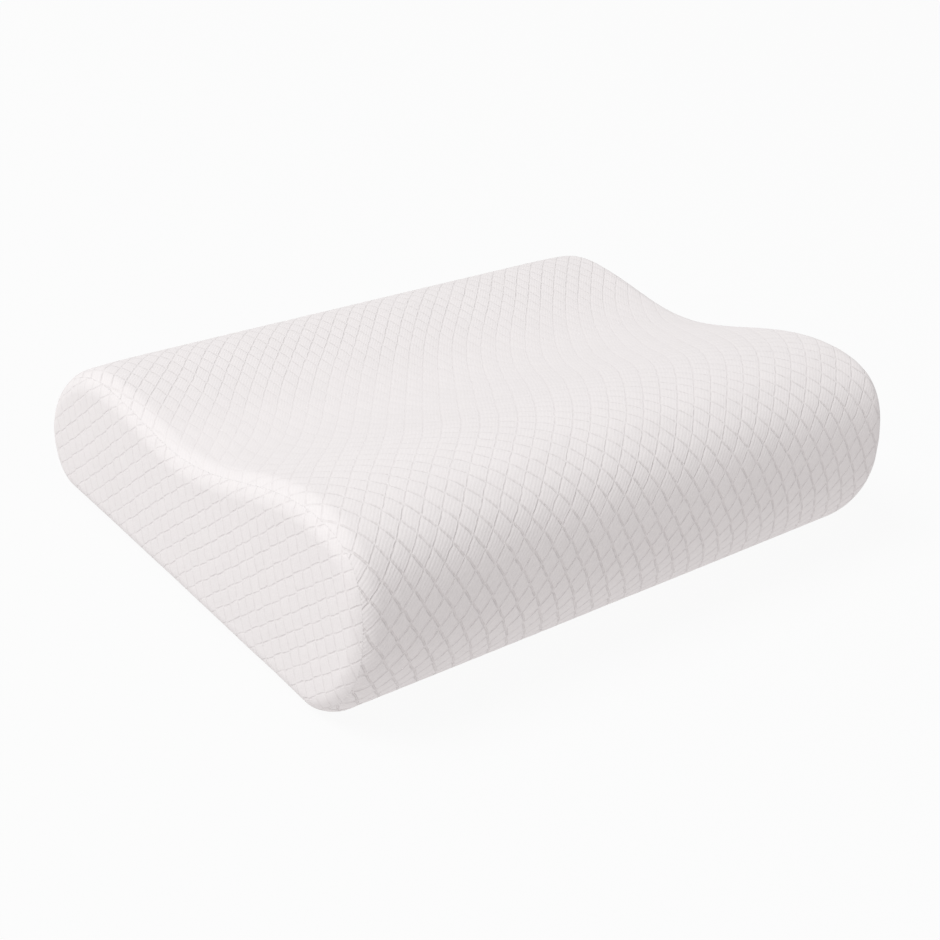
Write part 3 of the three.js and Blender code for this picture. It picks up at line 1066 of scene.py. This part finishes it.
class Repeater:
    """A Geometry Nodes tree that sets one small shape along a line of points, then realizes it."""

    def __init__(self, name: str, follows_path: bool) -> None:
        """Builds the tree.

        Args:
            name: The tree's name.
            follows_path: Whether the points are spaced along the host's own line and turned to follow it,
                or simply are the host's own points.
        """
        self.tree = bpy.data.node_groups.new(name, "GeometryNodeTree")
        face = self.tree.interface
        face.new_socket("Geometry", in_out="OUTPUT", socket_type="NodeSocketGeometry")
        face.new_socket("Geometry", in_out="INPUT", socket_type="NodeSocketGeometry")
        kinds = {
            "Shape": "NodeSocketObject",
            "Finish": "NodeSocketMaterial",
            "Spacing": "NodeSocketFloat",
            "Unevenness": "NodeSocketFloat",
            "Seed": "NodeSocketInt",
        }
        made = {key: face.new_socket(key, in_out="INPUT", socket_type=kind) for key, kind in kinds.items()}
        self.sockets = {key: socket.identifier for key, socket in made.items()}
        nodes, links = self.tree.nodes, self.tree.links
        source, result = nodes.new("NodeGroupInput"), nodes.new("NodeGroupOutput")
        shape = nodes.new("GeometryNodeObjectInfo")
        links.new(source.outputs["Shape"], shape.inputs["Object"])
        place = nodes.new("GeometryNodeInstanceOnPoints")
        links.new(shape.outputs["Geometry"], place.inputs["Instance"])
        if follows_path:
            curve = nodes.new("GeometryNodeMeshToCurve")
            spaced = nodes.new("GeometryNodeResampleCurve")
            spaced.mode = "LENGTH"
            links.new(source.outputs["Geometry"], curve.inputs["Mesh"])
            links.new(curve.outputs[0], spaced.inputs["Curve"])
            links.new(source.outputs["Spacing"], spaced.inputs["Length"])
            links.new(spaced.outputs[0], place.inputs["Points"])
            up = nodes.new("GeometryNodeInputNamedAttribute")
            up.data_type = "FLOAT_VECTOR"
            up.inputs["Name"].default_value = UP
            stand, turn = (nodes.new("FunctionNodeAlignRotationToVector") for _ in range(2))
            stand.axis, turn.axis, turn.pivot_axis = "Z", "X", "Z"
            links.new(up.outputs["Attribute"], stand.inputs["Vector"])
            links.new(stand.outputs[0], turn.inputs["Rotation"])
            links.new(nodes.new("GeometryNodeInputTangent").outputs[0], turn.inputs["Vector"])
            links.new(turn.outputs[0], place.inputs["Rotation"])
        else:
            links.new(source.outputs["Geometry"], place.inputs["Points"])
        low = nodes.new("ShaderNodeMath")
        low.operation, low.inputs[0].default_value = "SUBTRACT", 1.0
        links.new(source.outputs["Unevenness"], low.inputs[1])
        vary = nodes.new("FunctionNodeRandomValue")
        links.new(low.outputs[0], vary.inputs[2])
        vary.inputs[3].default_value = 1.0
        links.new(source.outputs["Seed"], vary.inputs["Seed"])
        links.new(vary.outputs[1], place.inputs["Scale"])
        real, coat = nodes.new("GeometryNodeRealizeInstances"), nodes.new("GeometryNodeSetMaterial")
        links.new(place.outputs[0], real.inputs[0])
        links.new(real.outputs[0], coat.inputs["Geometry"])
        links.new(source.outputs["Finish"], coat.inputs["Material"])
        links.new(coat.outputs[0], result.inputs[0])

    def make(
        self,
        name: str,
        host: bpy.types.Object,
        shape: bpy.types.Object,
        finish: bpy.types.Material,
        spacing: float = 0.003,
        unevenness: float = 0.0,
        seed: int = 7,
    ) -> bpy.types.Object:
        """Runs the tree on a host and keeps the result as a plain mesh.

        Args:
            name: The new piece's name.
            host: The object that holds the points or the line. It is used up.
            shape: The repeated shape.
            finish: Its material.
            spacing: The distance along the line from one to the next.
            unevenness: How much smaller the smallest one is, as a share.
            seed: The seed of that variation.

        Returns:
            The piece.
        """
        modifier = host.modifiers.new(name, "NODES")
        modifier.node_group = self.tree
        for key, value in zip(self.sockets, (shape, finish, spacing, unevenness, seed)):
            modifier[self.sockets[key]] = value
        host.update_tag()
        mesh = baked(host, name)
        host.modifiers.remove(modifier)
        bpy.data.objects.remove(host)
        mesh.shade_smooth()
        return in_scene(name, mesh)


def line_host(
    points: np.ndarray, ups: np.ndarray | None = None, closed: bool = False
) -> bpy.types.Object:
    """A line of points for a Repeater to follow.

    Args:
        points: The line's points.
        ups: The direction away from the surface at each point. Without it the points are left unjoined.
        closed: Whether the last point joins the first.

    Returns:
        The host object.
    """
    mesh = bpy.data.meshes.new("line")
    edges = [] if ups is None else [(i, i + 1) for i in range(len(points) - 1)]
    if closed:
        edges.append((len(points) - 1, 0))
    mesh.from_pydata(points.tolist(), edges, [])
    if ups is not None:
        store_vectors(mesh, UP, ups)
    return in_scene("line", mesh)


def dress(
    piece: bpy.types.Object, finish: bpy.types.Material, body: str, slot: str, *nodes: str
) -> None:
    """Gives a finished piece its material and body, and hides the CAD nodes that it stands for.

    Args:
        piece: The piece.
        finish: Its material.
        body: The body that it rides on.
        slot: The name of its material slot; not used.
        *nodes: The CAD nodes that it replaces.
    """
    if not piece.data.materials:
        piece.data.materials.append(finish)
    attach(piece, body)
    if nodes:
        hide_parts(*nodes)
    LOG.info("%s: %d faces on %s", piece.name, len(piece.data.polygons), body)


# ---------------------------------------------------------------------------------------------------------
# The pillow's sub-assemblies
# ---------------------------------------------------------------------------------------------------------


Lines = Callable[[np.ndarray, np.ndarray], np.ndarray]


def smooth_rise(x: np.ndarray, low: float, high: float) -> np.ndarray:
    """0 below low, 1 above high, and smooth between.

    Args:
        x: The values.
        low: Where the rise starts.
        high: Where it ends.

    Returns:
        The risen values.
    """
    t = np.clip((x - low) / (high - low), 0, 1)
    return t * t * (3 - 2 * t)


@dataclass(frozen=True)
class ClothLie:
    """How the knit's square cells lie on a panel: each set of lines by its direction and its spacing."""

    strong_turn: float = 40.0
    fine_turn: float = 135.0
    strong_cell: float = 0.0095
    fine_cell: float = 0.0097
    shift: tuple[float, float] = (0.0, 0.0)
    depths: tuple[float, float] = (1.0, 1.0)
    wave: float = 0.06
    wave_length: float = 0.115
    slow_share: float = 0.6

    def lines(
        self, across: np.ndarray, along: np.ndarray, depths: tuple[np.ndarray, ...] | None = None
    ) -> np.ndarray:
        """The two line numbers at places on the flat cloth, and how deep each set of lines is there.

        Args:
            across: The places' distance along the pillow's length.
            along: Their distance along the outline.
            depths: Each set's depth at the places, if it isn't the same all over.

        Returns:
            The line numbers, which are whole where a line lies, then the two depths as shares.
        """
        result = []
        sets = ((self.strong_turn, self.strong_cell), (self.fine_turn, self.fine_cell))
        for number, ((turn, cell), shift) in enumerate(zip(sets, self.shift)):
            angle = math.radians(turn)
            count = (across * math.cos(angle) + along * math.sin(angle)) / cell
            phase = FULL_TURN * (across * 0.6 - along * 0.8 * (-1) ** number) / self.wave_length
            slow = FULL_TURN * (along * 0.5 + across * 0.35) / self.wave_length
            bend = np.sin(phase + number) + self.slow_share * np.sin(slow + 2)
            result.append(count + self.wave * bend + shift)
        result += [result[0] * 0 + depth for depth in depths or self.depths]
        return np.stack(result, -1)


@dataclass(frozen=True)
class TopPull:
    """How the top panel's cloth is drawn askew on the low lobe and stretched down the front.

    Places are metres round the outline from the front foot, and the other numbers are shares of a distance.
    The depths of the two sets of lines are given at the turns, and run straight between them.
    """

    drawn_from: float = 0.23
    drawn_by: float = 0.33
    wider: float = 0.20
    turned: float = 0.144
    across_shift: float = -0.39
    along_shift: float = -0.30
    slant: tuple[float, float] = (0.20, 0.50)
    slant_span: tuple[float, float] = (-0.15, 0.20)
    slant_reach: float = 0.12
    slant_from: float = 0.18
    slant_by: float = 0.36
    front_below: float = 0.18
    front_bend: float = 0.014
    front_across: float = 0.13
    front_along: float = 0.19
    # These shares scale each set of lines' painted groove shade as well as its depth.
    turns: tuple[float, ...] = (0.0, 0.13, 0.165, 0.22, 0.27, 0.33, 0.38, 0.60)
    strong: tuple[float, ...] = (1.50, 1.15, 0.75, 0.50, 0.22, 0.22, 0.62, 0.70)
    fine: tuple[float, ...] = (1.50, 1.15, 0.75, 0.62, 0.42, 0.45, 1.08, 1.18)
    samples: int = 2000

    def flat(self, s: np.ndarray, u: np.ndarray, total: float) -> tuple[np.ndarray, np.ndarray]:
        """Where places on the panel lie on the cloth before it is pulled.

        Args:
            s: Distances round the outline.
            u: Distances along the length.
            total: The whole way round the outline.

        Returns:
            The distances across and along the flat cloth.
        """
        drawn = smooth_rise(s, self.drawn_from, self.drawn_by)
        run = np.linspace(0, total, self.samples)
        so_far = np.cumsum(smooth_rise(run, self.drawn_from, self.drawn_by)) * (run[1] - run[0])
        so_far = np.interp(s, run, so_far)
        low, high = self.slant_span
        share = np.clip((u - low) / (high - low), 0, 1)
        slant = self.slant[0] + (self.slant[1] - self.slant[0]) * share
        slant = slant * self.slant_reach * smooth_rise(s, self.slant_from, self.slant_by)
        front = self.front_bend * np.logaddexp(0, (self.front_below - s) / self.front_bend)
        across = u * (1 + self.wider * drawn) + self.across_shift * so_far + slant + self.front_across * front
        along = s + self.turned * drawn * u + self.along_shift * so_far + self.front_along * front
        return across, along

    def depths(self, s: np.ndarray, u: np.ndarray) -> tuple[np.ndarray, ...]:
        """How deep each set of lines is at places on the panel.

        Args:
            s: Distances round the outline.
            u: Distances along the length.

        Returns:
            The strong lines' depths and the fine ones'.
        """
        return tuple(np.interp(s, self.turns, depths) + 0 * u for depths in (self.strong, self.fine))


@dataclass
class Cover:
    """The zipped outer cover: a top panel, a bottom panel and two end panels, each a closed cloth sheet."""

    form: Form
    padding: Padding
    knit: JacquardKnit
    finish: bpy.types.Material
    thickness: float = 0.002
    ratio: int = 6
    top_step: float = 0.0015
    bottom_step: float = 0.0022
    seam_gap: float = 0.00002
    seam_dip: float = 0.00002
    seam_reach: float = 0.0014
    dip_power: float = 1.5
    hem_dip: float = 0.0010
    slot_half: float = 0.0058
    relief_start: float = 0.0015
    underside_share: float = 0.9
    border_spots: tuple[float, ...] = (0.0, 0.00025, 0.0006, 0.0011, 0.0018, 0.0027)
    # The end panels' line shares also scale their painted groove shade.
    end_lie: ClothLie = ClothLie(49.0, 158.0, 0.0088, 0.0095, (0.3, 0.1), (0.68, 0.72), 0.03)
    top_lie: ClothLie = ClothLie()
    top_pull: TopPull = TopPull()
    bottom_lie: ClothLie = ClothLie(shift=(0.4, 0.25), wave=0.05)

    def border_steps(self, start: float, stop: float, step: float) -> np.ndarray:
        """Places from start to stop, closer together at both borders.

        Args:
            start: The first place.
            stop: The last place.
            step: The usual distance between two.

        Returns:
            The places, whose intervals are a multiple of the ratio to the inner side's.
        """
        close = np.array(self.border_spots)
        span = stop - start - 2 * close[-1]
        count = round(span / step)
        count += -(count + 2 * (len(close) - 1)) % self.ratio
        middle = start + close[-1] + np.linspace(0, span, count + 1)
        return np.concatenate([start + close[:-1], middle, (stop - close[:-1])[::-1]])

    def dip(self, away: np.ndarray, depth: float) -> np.ndarray:
        """How far a border turns down, by the distance from it."""
        return depth * (1 - smooth_rise(away, 0, self.seam_reach)) ** self.dip_power

    def surface(
        self, s: np.ndarray, u: np.ndarray, lift: np.ndarray | float = 0.0
    ) -> tuple[np.ndarray, np.ndarray]:
        """The swollen cover's outer surface and its normals, with a lift off it."""
        points, normals = self.form.wrap(s, u)
        return points + self.padding.on_wrap(s, u) + normals * np.asarray(lift)[..., None], normals

    def rest(self, side: np.ndarray, height: float) -> None:
        """Raises what lies lower than a height over the plane that the pillow rests on."""
        side[..., 2] = np.maximum(side[..., 2], height)

    def top_lines(self, s: np.ndarray, u: np.ndarray) -> np.ndarray:
        """The knit's lines on the top panel."""
        across, along = self.top_pull.flat(s, u, self.form.outline.total)
        return self.top_lie.lines(across, along, self.top_pull.depths(s, u))

    def bottom_lines(self, s: np.ndarray, u: np.ndarray) -> np.ndarray:
        """The knit's lines on the bottom panel."""
        return self.bottom_lie.lines(u + 0 * s, s + 0 * u)

    def wrap_panel(
        self, name: str, start: float, stop: float, step: float, hem_at: float, lie: Lines
    ) -> bpy.types.Object:
        """A panel round the outline, from one end seam to the other.

        Args:
            name: The panel's name, which is its CAD node's with the ending _cloth.
            start: Where it starts, round the outline.
            stop: Where it stops.
            step: The usual distance between two points.
            hem_at: The border that is a hem beside the zip.
            lie: Gives the knit's lines at places on the panel.

        Returns:
            The panel.
        """
        s = self.border_steps(start, stop, step)[None, :]
        half = self.form.seam - self.seam_gap / 2
        u = self.border_steps(-half, half, step)[:, None]
        lines = lie(s, u)
        seam_away = half - np.abs(u)
        plain_away = np.abs(s - (start + stop - hem_at))
        hem_away = np.abs(s - hem_at)
        nearest = np.minimum(np.minimum(seam_away, plain_away), hem_away)
        relief = self.knit.relief(lines) * smooth_rise(nearest, 0, self.relief_start)
        down = np.maximum(self.dip(seam_away, self.seam_dip), self.dip(plain_away, self.seam_dip))
        down = np.maximum(down, self.dip(hem_away, self.hem_dip))
        outer, _ = self.surface(s, u, relief - down)
        coarse_s, coarse_u = s[:, :: self.ratio], u[:: self.ratio]
        sunk = np.full((len(coarse_u), coarse_s.shape[1]), -self.thickness)
        inner, _ = self.surface(coarse_s, coarse_u, sunk)
        return self.close_panel(name, outer, inner, lines)

    def close_panel(
        self, name: str, outer: np.ndarray, inner: np.ndarray, lines: np.ndarray
    ) -> bpy.types.Object:
        """Joins a panel's fine outer side and coarse inner side into one closed sheet.

        Args:
            name: The panel's name.
            outer: The outer side's grid.
            inner: The inner side's grid.
            lines: The knit's lines on the outer side.

        Returns:
            The panel.
        """
        self.rest(outer, 0)
        self.rest(inner, self.underside_share * self.thickness)
        maker = MeshMaker()
        fine, coarse = maker.grid(outer, lines), maker.grid(inner[:, ::-1])[:, ::-1]
        for fine_border, coarse_border in zip(borders_of(fine), borders_of(coarse)):
            maker.skirt(fine_border, coarse_border)
        return maker.object(name)

    def end_panel(self, name: str, end: End) -> bpy.types.Object:
        """An end panel, from its seam round onto the crowned end face.

        Args:
            name: The panel's name.
            end: Which end.

        Returns:
            The panel.
        """
        start = self.form.seam + self.seam_gap / 2
        close = np.array(self.border_spots)
        count = 2 * self.ratio - len(close) + 1
        open_part = np.linspace(start + close[-1], self.form.face_edge, count + 1)
        u = np.concatenate([start + close[:-1], open_part])
        maker = MeshMaker()
        borders = []
        for finer, rows, depth in ((self.ratio, u, 0.0), (1, u[:: self.ratio], self.thickness)):
            ring = self.form.ring(finer)[None, :]
            across = end.value * rows[:, None]
            base, normals = self.form.wrap(ring, across)
            face = self.form.face(base[-1], finer)
            y, z, ny, nz = self.form.outline.at(ring)
            drawn = self.form.rounding - (self.form.face_edge - rows[:, None])
            flat_y, flat_z = y - ny * drawn, z - nz * drawn
            ring_lines = self.end_lie.lines(-end.value * flat_y, flat_z)
            face_lines = self.end_lie.lines(-end.value * face[..., 1], face[..., 2])
            away = rows[:, None] - start
            outside = depth == 0
            lift = np.full(base.shape[:-1], -depth)
            face_lift = np.full(face.shape[:-1], -depth)
            if outside:
                fade = smooth_rise(away, 0, self.relief_start)
                lift = self.knit.relief(ring_lines) * fade - self.dip(away, self.seam_dip)
                face_lift = self.knit.relief(face_lines)
            around = base + self.padding.on_wrap(ring, across) + normals * lift[..., None]
            out = np.array([end.value, 0.0, 0.0])
            crowned = face + self.padding.on_face(end, finer) + out * face_lift[..., None]
            for part in (around, crowned):
                self.rest(part, 0 if outside else self.underside_share * self.thickness)
            ids = maker.grid(around, ring_lines if outside else None, closed=True)
            maker.face_grid(crowned, ids[-1], self.form, finer, face_lines if outside else None)
            borders.append(np.r_[ids[0], ids[0, :1]])
        maker.skirt(*borders)
        return maker.object(name)

    def build(self) -> None:
        """Makes the four panels."""
        marks, total = self.form.outline.marks, self.form.outline.total
        upper, lower = marks["zip"] - self.slot_half, marks["zip"] + self.slot_half
        front = marks["front_seam"] + self.seam_gap / 2
        under = total + front - self.seam_gap
        top, bottom = self.top_lines, self.bottom_lines
        panels = {
            "cover_top": self.wrap_panel("cover_top_cloth", front, upper, self.top_step, upper, top),
            "cover_bottom": self.wrap_panel(
                "cover_bottom_cloth", lower, under, self.bottom_step, lower, bottom
            ),
            "cover_end_left": self.end_panel("cover_end_left_cloth", End.LEFT),
            "cover_end_right": self.end_panel("cover_end_right_cloth", End.RIGHT),
        }
        for node, panel in panels.items():
            dress(panel, self.finish, "pillow", "cover_knit", node)


@dataclass
class Stitching:
    """The sewing thread: topstitches along both hems of the zip's slot, and the seams' ladder stitches."""

    cover: Cover
    thread: bpy.types.Material
    repeater: Repeater
    hem_inset: float = 0.0024
    hem_spacing: float = 0.0034
    hem_stitch: float = 0.0026
    ladder_spacing: float = 0.0026
    ladder_stitch: float = 0.0010
    thread_radius: float = 0.00016
    ladder_radius: float = 0.00007
    unevenness: float = 0.2
    end_margin: float = 0.004
    crown: float = 1.1
    sink: float = 3.2
    sides: int = 5
    stitch_points: int = 6
    row_points: int = 300
    round_points: int = 500

    def shape(self, length: float, along: bool) -> bpy.types.Object:
        """One stitch, whose ends sink into the cloth.

        Args:
            length: Its length.
            along: Whether it lies along the row or across it.

        Returns:
            A temporary object at the origin.
        """
        t = np.linspace(-1, 1, self.stitch_points)
        radius = self.thread_radius if along else self.ladder_radius
        run, rise = t * length / 2, radius * (self.crown - self.sink * t**4)
        flat = np.zeros_like(t)
        path = np.stack([run, flat, rise] if along else [flat, run, rise], -1)
        return tube(path, radius, self.sides).object("stitch_shape")

    def row(
        self,
        name: str,
        s: np.ndarray,
        u: np.ndarray,
        stitch: bpy.types.Object,
        spacing: float,
        seed: int,
        closed: bool = False,
    ) -> None:
        """Sews one row on the cover's surface.

        Args:
            name: The row's name.
            s: The row's places round the outline.
            u: Its places along the length.
            stitch: The stitch's shape.
            spacing: From one stitch to the next.
            seed: The seed of the stitches' unevenness.
            closed: Whether the row runs all round.
        """
        points, ups = self.cover.surface(s, u)
        self.cover.rest(points, self.thread_radius)
        host = line_host(points, ups, closed)
        piece = self.repeater.make(name, host, stitch, self.thread, spacing, self.unevenness, seed)
        dress(piece, self.thread, "pillow", "cover_knit")

    def build(self) -> None:
        """Sews every row."""
        form = self.cover.form
        marks, gap = form.outline.marks, self.cover.slot_half + self.hem_inset
        topstitch, ladder = self.shape(self.hem_stitch, True), self.shape(self.ladder_stitch, False)
        u = np.linspace(-form.seam + self.end_margin, form.seam - self.end_margin, self.row_points)
        for number, (name, side) in enumerate((("upper", -1), ("lower", 1))):
            s = marks["zip"] + side * gap + 0 * u
            self.row(f"hem_stitches_{name}", s, u, topstitch, self.hem_spacing, number)
        round_s = np.linspace(0, form.outline.total, self.round_points, endpoint=False)
        for end in End:
            name, place = f"seam_stitches_{end.name.lower()}", end.value * form.seam + 0 * round_s
            self.row(name, round_s, place, ladder, self.ladder_spacing, 5 + end.value, True)
        self.row("seam_stitches_front", marks["front_seam"] + 0 * u, u, ladder, self.ladder_spacing, 9)
        for shape in (topstitch, ladder):
            bpy.data.objects.remove(shape)


@dataclass
class Zip:
    """The zip across the back: interlocked nylon coils, stops, slider and pull."""

    form: Form
    nylon: bpy.types.Material
    metal: bpy.types.Material
    repeater: Repeater
    pitch: float = 0.00127
    wire: float = 0.00027
    reach: float = 0.00095
    middle: float = 0.00098
    height: float = 0.00043
    depth: float = 0.0013
    turns: int = 277
    steps: int = 10
    sides: int = 5
    edge: float = 0.00022

    def coil(self, name: str, side: int) -> None:
        """One coil, whose turns pass the middle line and lie between the other's.

        Args:
            name: The CAD node that it replaces.
            side: -1 for the upper one, 1 for the lower one.
        """
        outline = self.form.outline
        y, z, ny, nz = (float(v) for v in outline.at(np.array(outline.marks["zip"])))
        down, out = np.array([0, nz, -ny]), np.array([0, ny, nz])
        t = np.linspace(0, FULL_TURN, self.steps + 1)
        path = np.outer(self.pitch * t / FULL_TURN, (1, 0, 0))
        path += np.outer(side * (self.middle + self.reach * np.cos(t)), down)
        path += np.outer(-self.depth + self.height * np.sin(t), out)
        turn = tube(path, self.wire, self.sides).object("turn_shape")
        first = -self.turns * self.pitch / 2 + (0.5 * self.pitch if side > 0 else 0.0) - self.pitch / 2
        x = first + np.arange(self.turns) * self.pitch
        places = np.stack([x, 0 * x + y, 0 * x + z], -1)
        piece = self.repeater.make(name + "_turns", line_host(places), turn, self.nylon)
        bpy.data.objects.remove(turn)
        dress(piece, self.nylon, "pillow", "zip_nylon", name)

    def build(self) -> None:
        """Makes the coils and the hardware."""
        self.coil("zip_coil_upper", -1)
        self.coil("zip_coil_lower", 1)
        hardware = {
            "zip_stop_top_upper": "pillow",
            "zip_stop_top_lower": "pillow",
            "zip_stop_bottom": "pillow",
            "zip_slider": "slider",
            "zip_pull": "pull",
        }
        for node, body in hardware.items():
            piece = softened_copy(node, node + "_plated", self.edge)
            dress(piece, self.metal, body, "zip_metal", node)


def softened_copy(node: str, name: str, width: float) -> bpy.types.Object:
    """A copy of a CAD node with its sharp edges rounded.

    Args:
        node: The CAD node.
        name: The copy's name.
        width: The rounding's width.

    Returns:
        The copy.
    """
    work = bmesh.new()
    work.from_mesh(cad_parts[node].data)
    bmesh.ops.remove_doubles(work, verts=work.verts, dist=SAME_POINT)
    bmesh.ops.dissolve_limit(work, angle_limit=FLAT_WITHIN, verts=work.verts, edges=work.edges)
    mesh = bpy.data.meshes.new(name)
    work.to_mesh(mesh)
    work.free()
    host = in_scene(name + "_sharp", mesh)
    bevel = host.modifiers.new("edges", "BEVEL")
    bevel.width, bevel.segments, bevel.limit_method = width, 3, "ANGLE"
    bevel.angle_limit = BEVEL_FROM
    rounded = baked(host, name)
    bpy.data.objects.remove(host)
    rounded.materials.clear()
    rounded.shade_smooth()
    rounded.set_sharp_from_angle(angle=PLATE_CREASE)
    return in_scene(name, rounded)


@dataclass
class CareLabel:
    """The blank care label, sewn into the right end seam above the zip."""

    cover: Cover
    finish: bpy.types.Material
    length: float = 0.030
    reach: float = 0.020
    thickness: float = 0.00035
    above_zip: float = 0.008
    stand_off: float = 0.0003
    curl: float = 0.0006
    curl_power: float = 2.5
    ripple_share: float = 0.3
    rows: int = 24
    columns: int = 36

    def build(self) -> None:
        """Lays the label on the cover, with its free edge lifting a little."""
        seam, foot = self.cover.form.seam, self.cover.form.outline.marks["zip"] - self.above_zip
        out = np.linspace(0, 1, self.rows)[:, None]
        s = (foot - self.length + self.length * np.linspace(0, 1, self.columns))[None, :]
        ripple = self.ripple_share * self.curl * np.sin(FULL_TURN * (s - foot) / self.length) * out
        lift = self.stand_off + self.curl * out**self.curl_power + ripple
        u = seam - self.reach * out
        upper, _ = self.cover.surface(s, u, lift + self.thickness)
        under, _ = self.cover.surface(s, u, lift)
        maker = MeshMaker()
        top, low = maker.grid(upper), maker.grid(under[:, ::-1])[:, ::-1]
        for pair in zip(borders_of(top), borders_of(low)):
            maker.quads(np.stack(pair, -1))
        piece = maker.object("care_label_satin")
        dress(piece, self.finish, "pillow", "label", "care_label")


@dataclass(frozen=True)
class Inside:
    """The pieces inside the cover, which keep their CAD meshes: core, liner, seam turnings and zip tapes."""

    def build(self) -> None:
        """Gives each CAD node that stays its own finish."""
        turning = PlainKnit("cover_turning", (0.76, 0.74, 0.735, 1.0), 0.0013).material()
        finishes = {
            "foam": SlowFoam().material(),
            "liner": PlainKnit().material(),
            "seam": turning,
            "zip_tape": WovenTape().material(),
        }
        for name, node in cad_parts.items():
            for start, finish in finishes.items():
                if name.startswith(start):
                    node.data.materials.clear()
                    node.data.materials.append(finish)
                    LOG.info("%s: kept, with %s", name, finish.name)


# ---------------------------------------------------------------------------------------------------------
# Studio
# ---------------------------------------------------------------------------------------------------------


@dataclass(frozen=True)
class Softbox:
    """One soft light that faces a point."""

    name: str
    place: tuple[float, float, float]
    size: float
    power: float
    target: tuple[float, float, float] = (0.0, 0.0, 0.05)
    colour: tuple[float, float, float] = (1.0, 1.0, 1.0)

    def build(self) -> None:
        """Adds the light."""
        lamp = bpy.data.lights.new(self.name, "AREA")
        lamp.shape, lamp.size, lamp.energy, lamp.color = "DISK", self.size, self.power, self.colour
        holder = in_scene(self.name, lamp)
        holder.location = self.place
        away = Vector(self.place) - Vector(self.target)
        holder.rotation_euler = away.to_track_quat("Z", "Y").to_euler()
        holder.visible_camera = False


@dataclass(frozen=True)
class Studio:
    """A plain pale floor, an even white room and one soft light."""

    room: float = 0.66
    floor_glow: float = 0.925
    floor_half: float = 9.0
    floor_drop: float = 0.0006
    paper: Colour = (0.04, 0.04, 0.04, 1.0)
    grain_scale: float = 40.0
    grain_height: float = 0.00002
    light: Softbox = Softbox("key_light", (-3.60, 0.84, 5.84), 3.4, 303.0, colour=(0.960, 1.0, 1.0))

    def build(self) -> None:
        """Adds the room, the floor and the light."""
        scene = bpy.context.scene
        scene.view_settings.view_transform = "Standard"
        world = bpy.data.worlds.new("room")
        scene.world = world
        world.use_nodes = True
        background = world.node_tree.nodes["Background"]
        background.inputs["Color"].default_value = WHITE
        background.inputs["Strength"].default_value = self.room
        signs = ((-1, -1), (1, -1), (1, 1), (-1, 1))
        corners = [(x * self.floor_half, y * self.floor_half, -self.floor_drop) for x, y in signs]
        mesh = bpy.data.meshes.new("floor")
        mesh.from_pydata(corners, [], [(0, 1, 2, 3)])
        floor = in_scene("floor", mesh)
        g = Graph("floor_paper")
        g.shader.inputs["Emission Color"].default_value = WHITE
        g.shader.inputs["Emission Strength"].default_value = self.floor_glow
        grain = g.times(g.noise(g.object_place(), self.grain_scale), self.grain_height)
        mesh.materials.append(g.finish(self.paper, grain, Roughness=0.95, Specular_IOR_Level=0.0))
        self.light.build()


@dataclass(frozen=True)
class Viewpoint:
    """The camera: where it stands, where it looks, and how far it leans."""

    place: tuple[float, float, float] = (-0.6090, -0.7036, 0.5540)
    heading: float = 41.21
    below_level: float = 29.41
    lean: float = 5.44
    lens: float = 64.8
    sensor: float = 36.0
    nearest: float = 0.01

    def build(self) -> None:
        """Adds the camera."""
        turn, drop, lean = (math.radians(v) for v in (self.heading, self.below_level, self.lean))
        ahead = np.array([math.sin(turn), math.cos(turn), 0])
        right = np.array([math.cos(turn), -math.sin(turn), 0])
        up = np.array([0.0, 0.0, 1.0])
        looks = ahead * math.cos(drop) - up * math.sin(drop)
        top = ahead * math.sin(drop) + up * math.cos(drop)
        side = right * math.cos(lean) + top * math.sin(lean)
        head = -right * math.sin(lean) + top * math.cos(lean)
        data = bpy.data.cameras.new("camera")
        data.lens, data.sensor_width = self.lens, self.sensor
        data.clip_start = self.nearest
        camera = in_scene("camera", data)
        matrix = Matrix(np.column_stack([side, head, -looks]).tolist()).to_4x4()
        matrix.translation = self.place
        camera.matrix_world = matrix
        bpy.context.scene.camera = camera


def main() -> None:
    """Builds the studio and the pillow in order."""
    logging.basicConfig(level=logging.INFO, format="%(name)s: %(message)s")
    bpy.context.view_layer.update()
    Viewpoint().build()
    Studio().build()
    top, bottom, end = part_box("cover_top"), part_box("cover_bottom"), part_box("cover_end_right")
    outline = Outline(front=top[0].y, back=bottom[1].y, high_lobe=top[1].z)
    form = Form(outline, half_length=end[1].x)
    padding = Padding(form)
    padding.simulate()
    knit = JacquardKnit()
    cover = Cover(form, padding, knit, knit.material())
    cover.build()
    thread = Nylon("sewing_thread", (0.84, 0.825, 0.815, 1.0), 0.7, 0.0006).material()
    Stitching(cover, thread, Repeater("stitch_row", True)).build()
    Zip(form, Nylon().material(), PlatedMetal().material(), Repeater("turn_row", False)).build()
    CareLabel(cover, SatinLabel().material()).build()
    Inside().build()


if __name__ == "__main__":
    main()
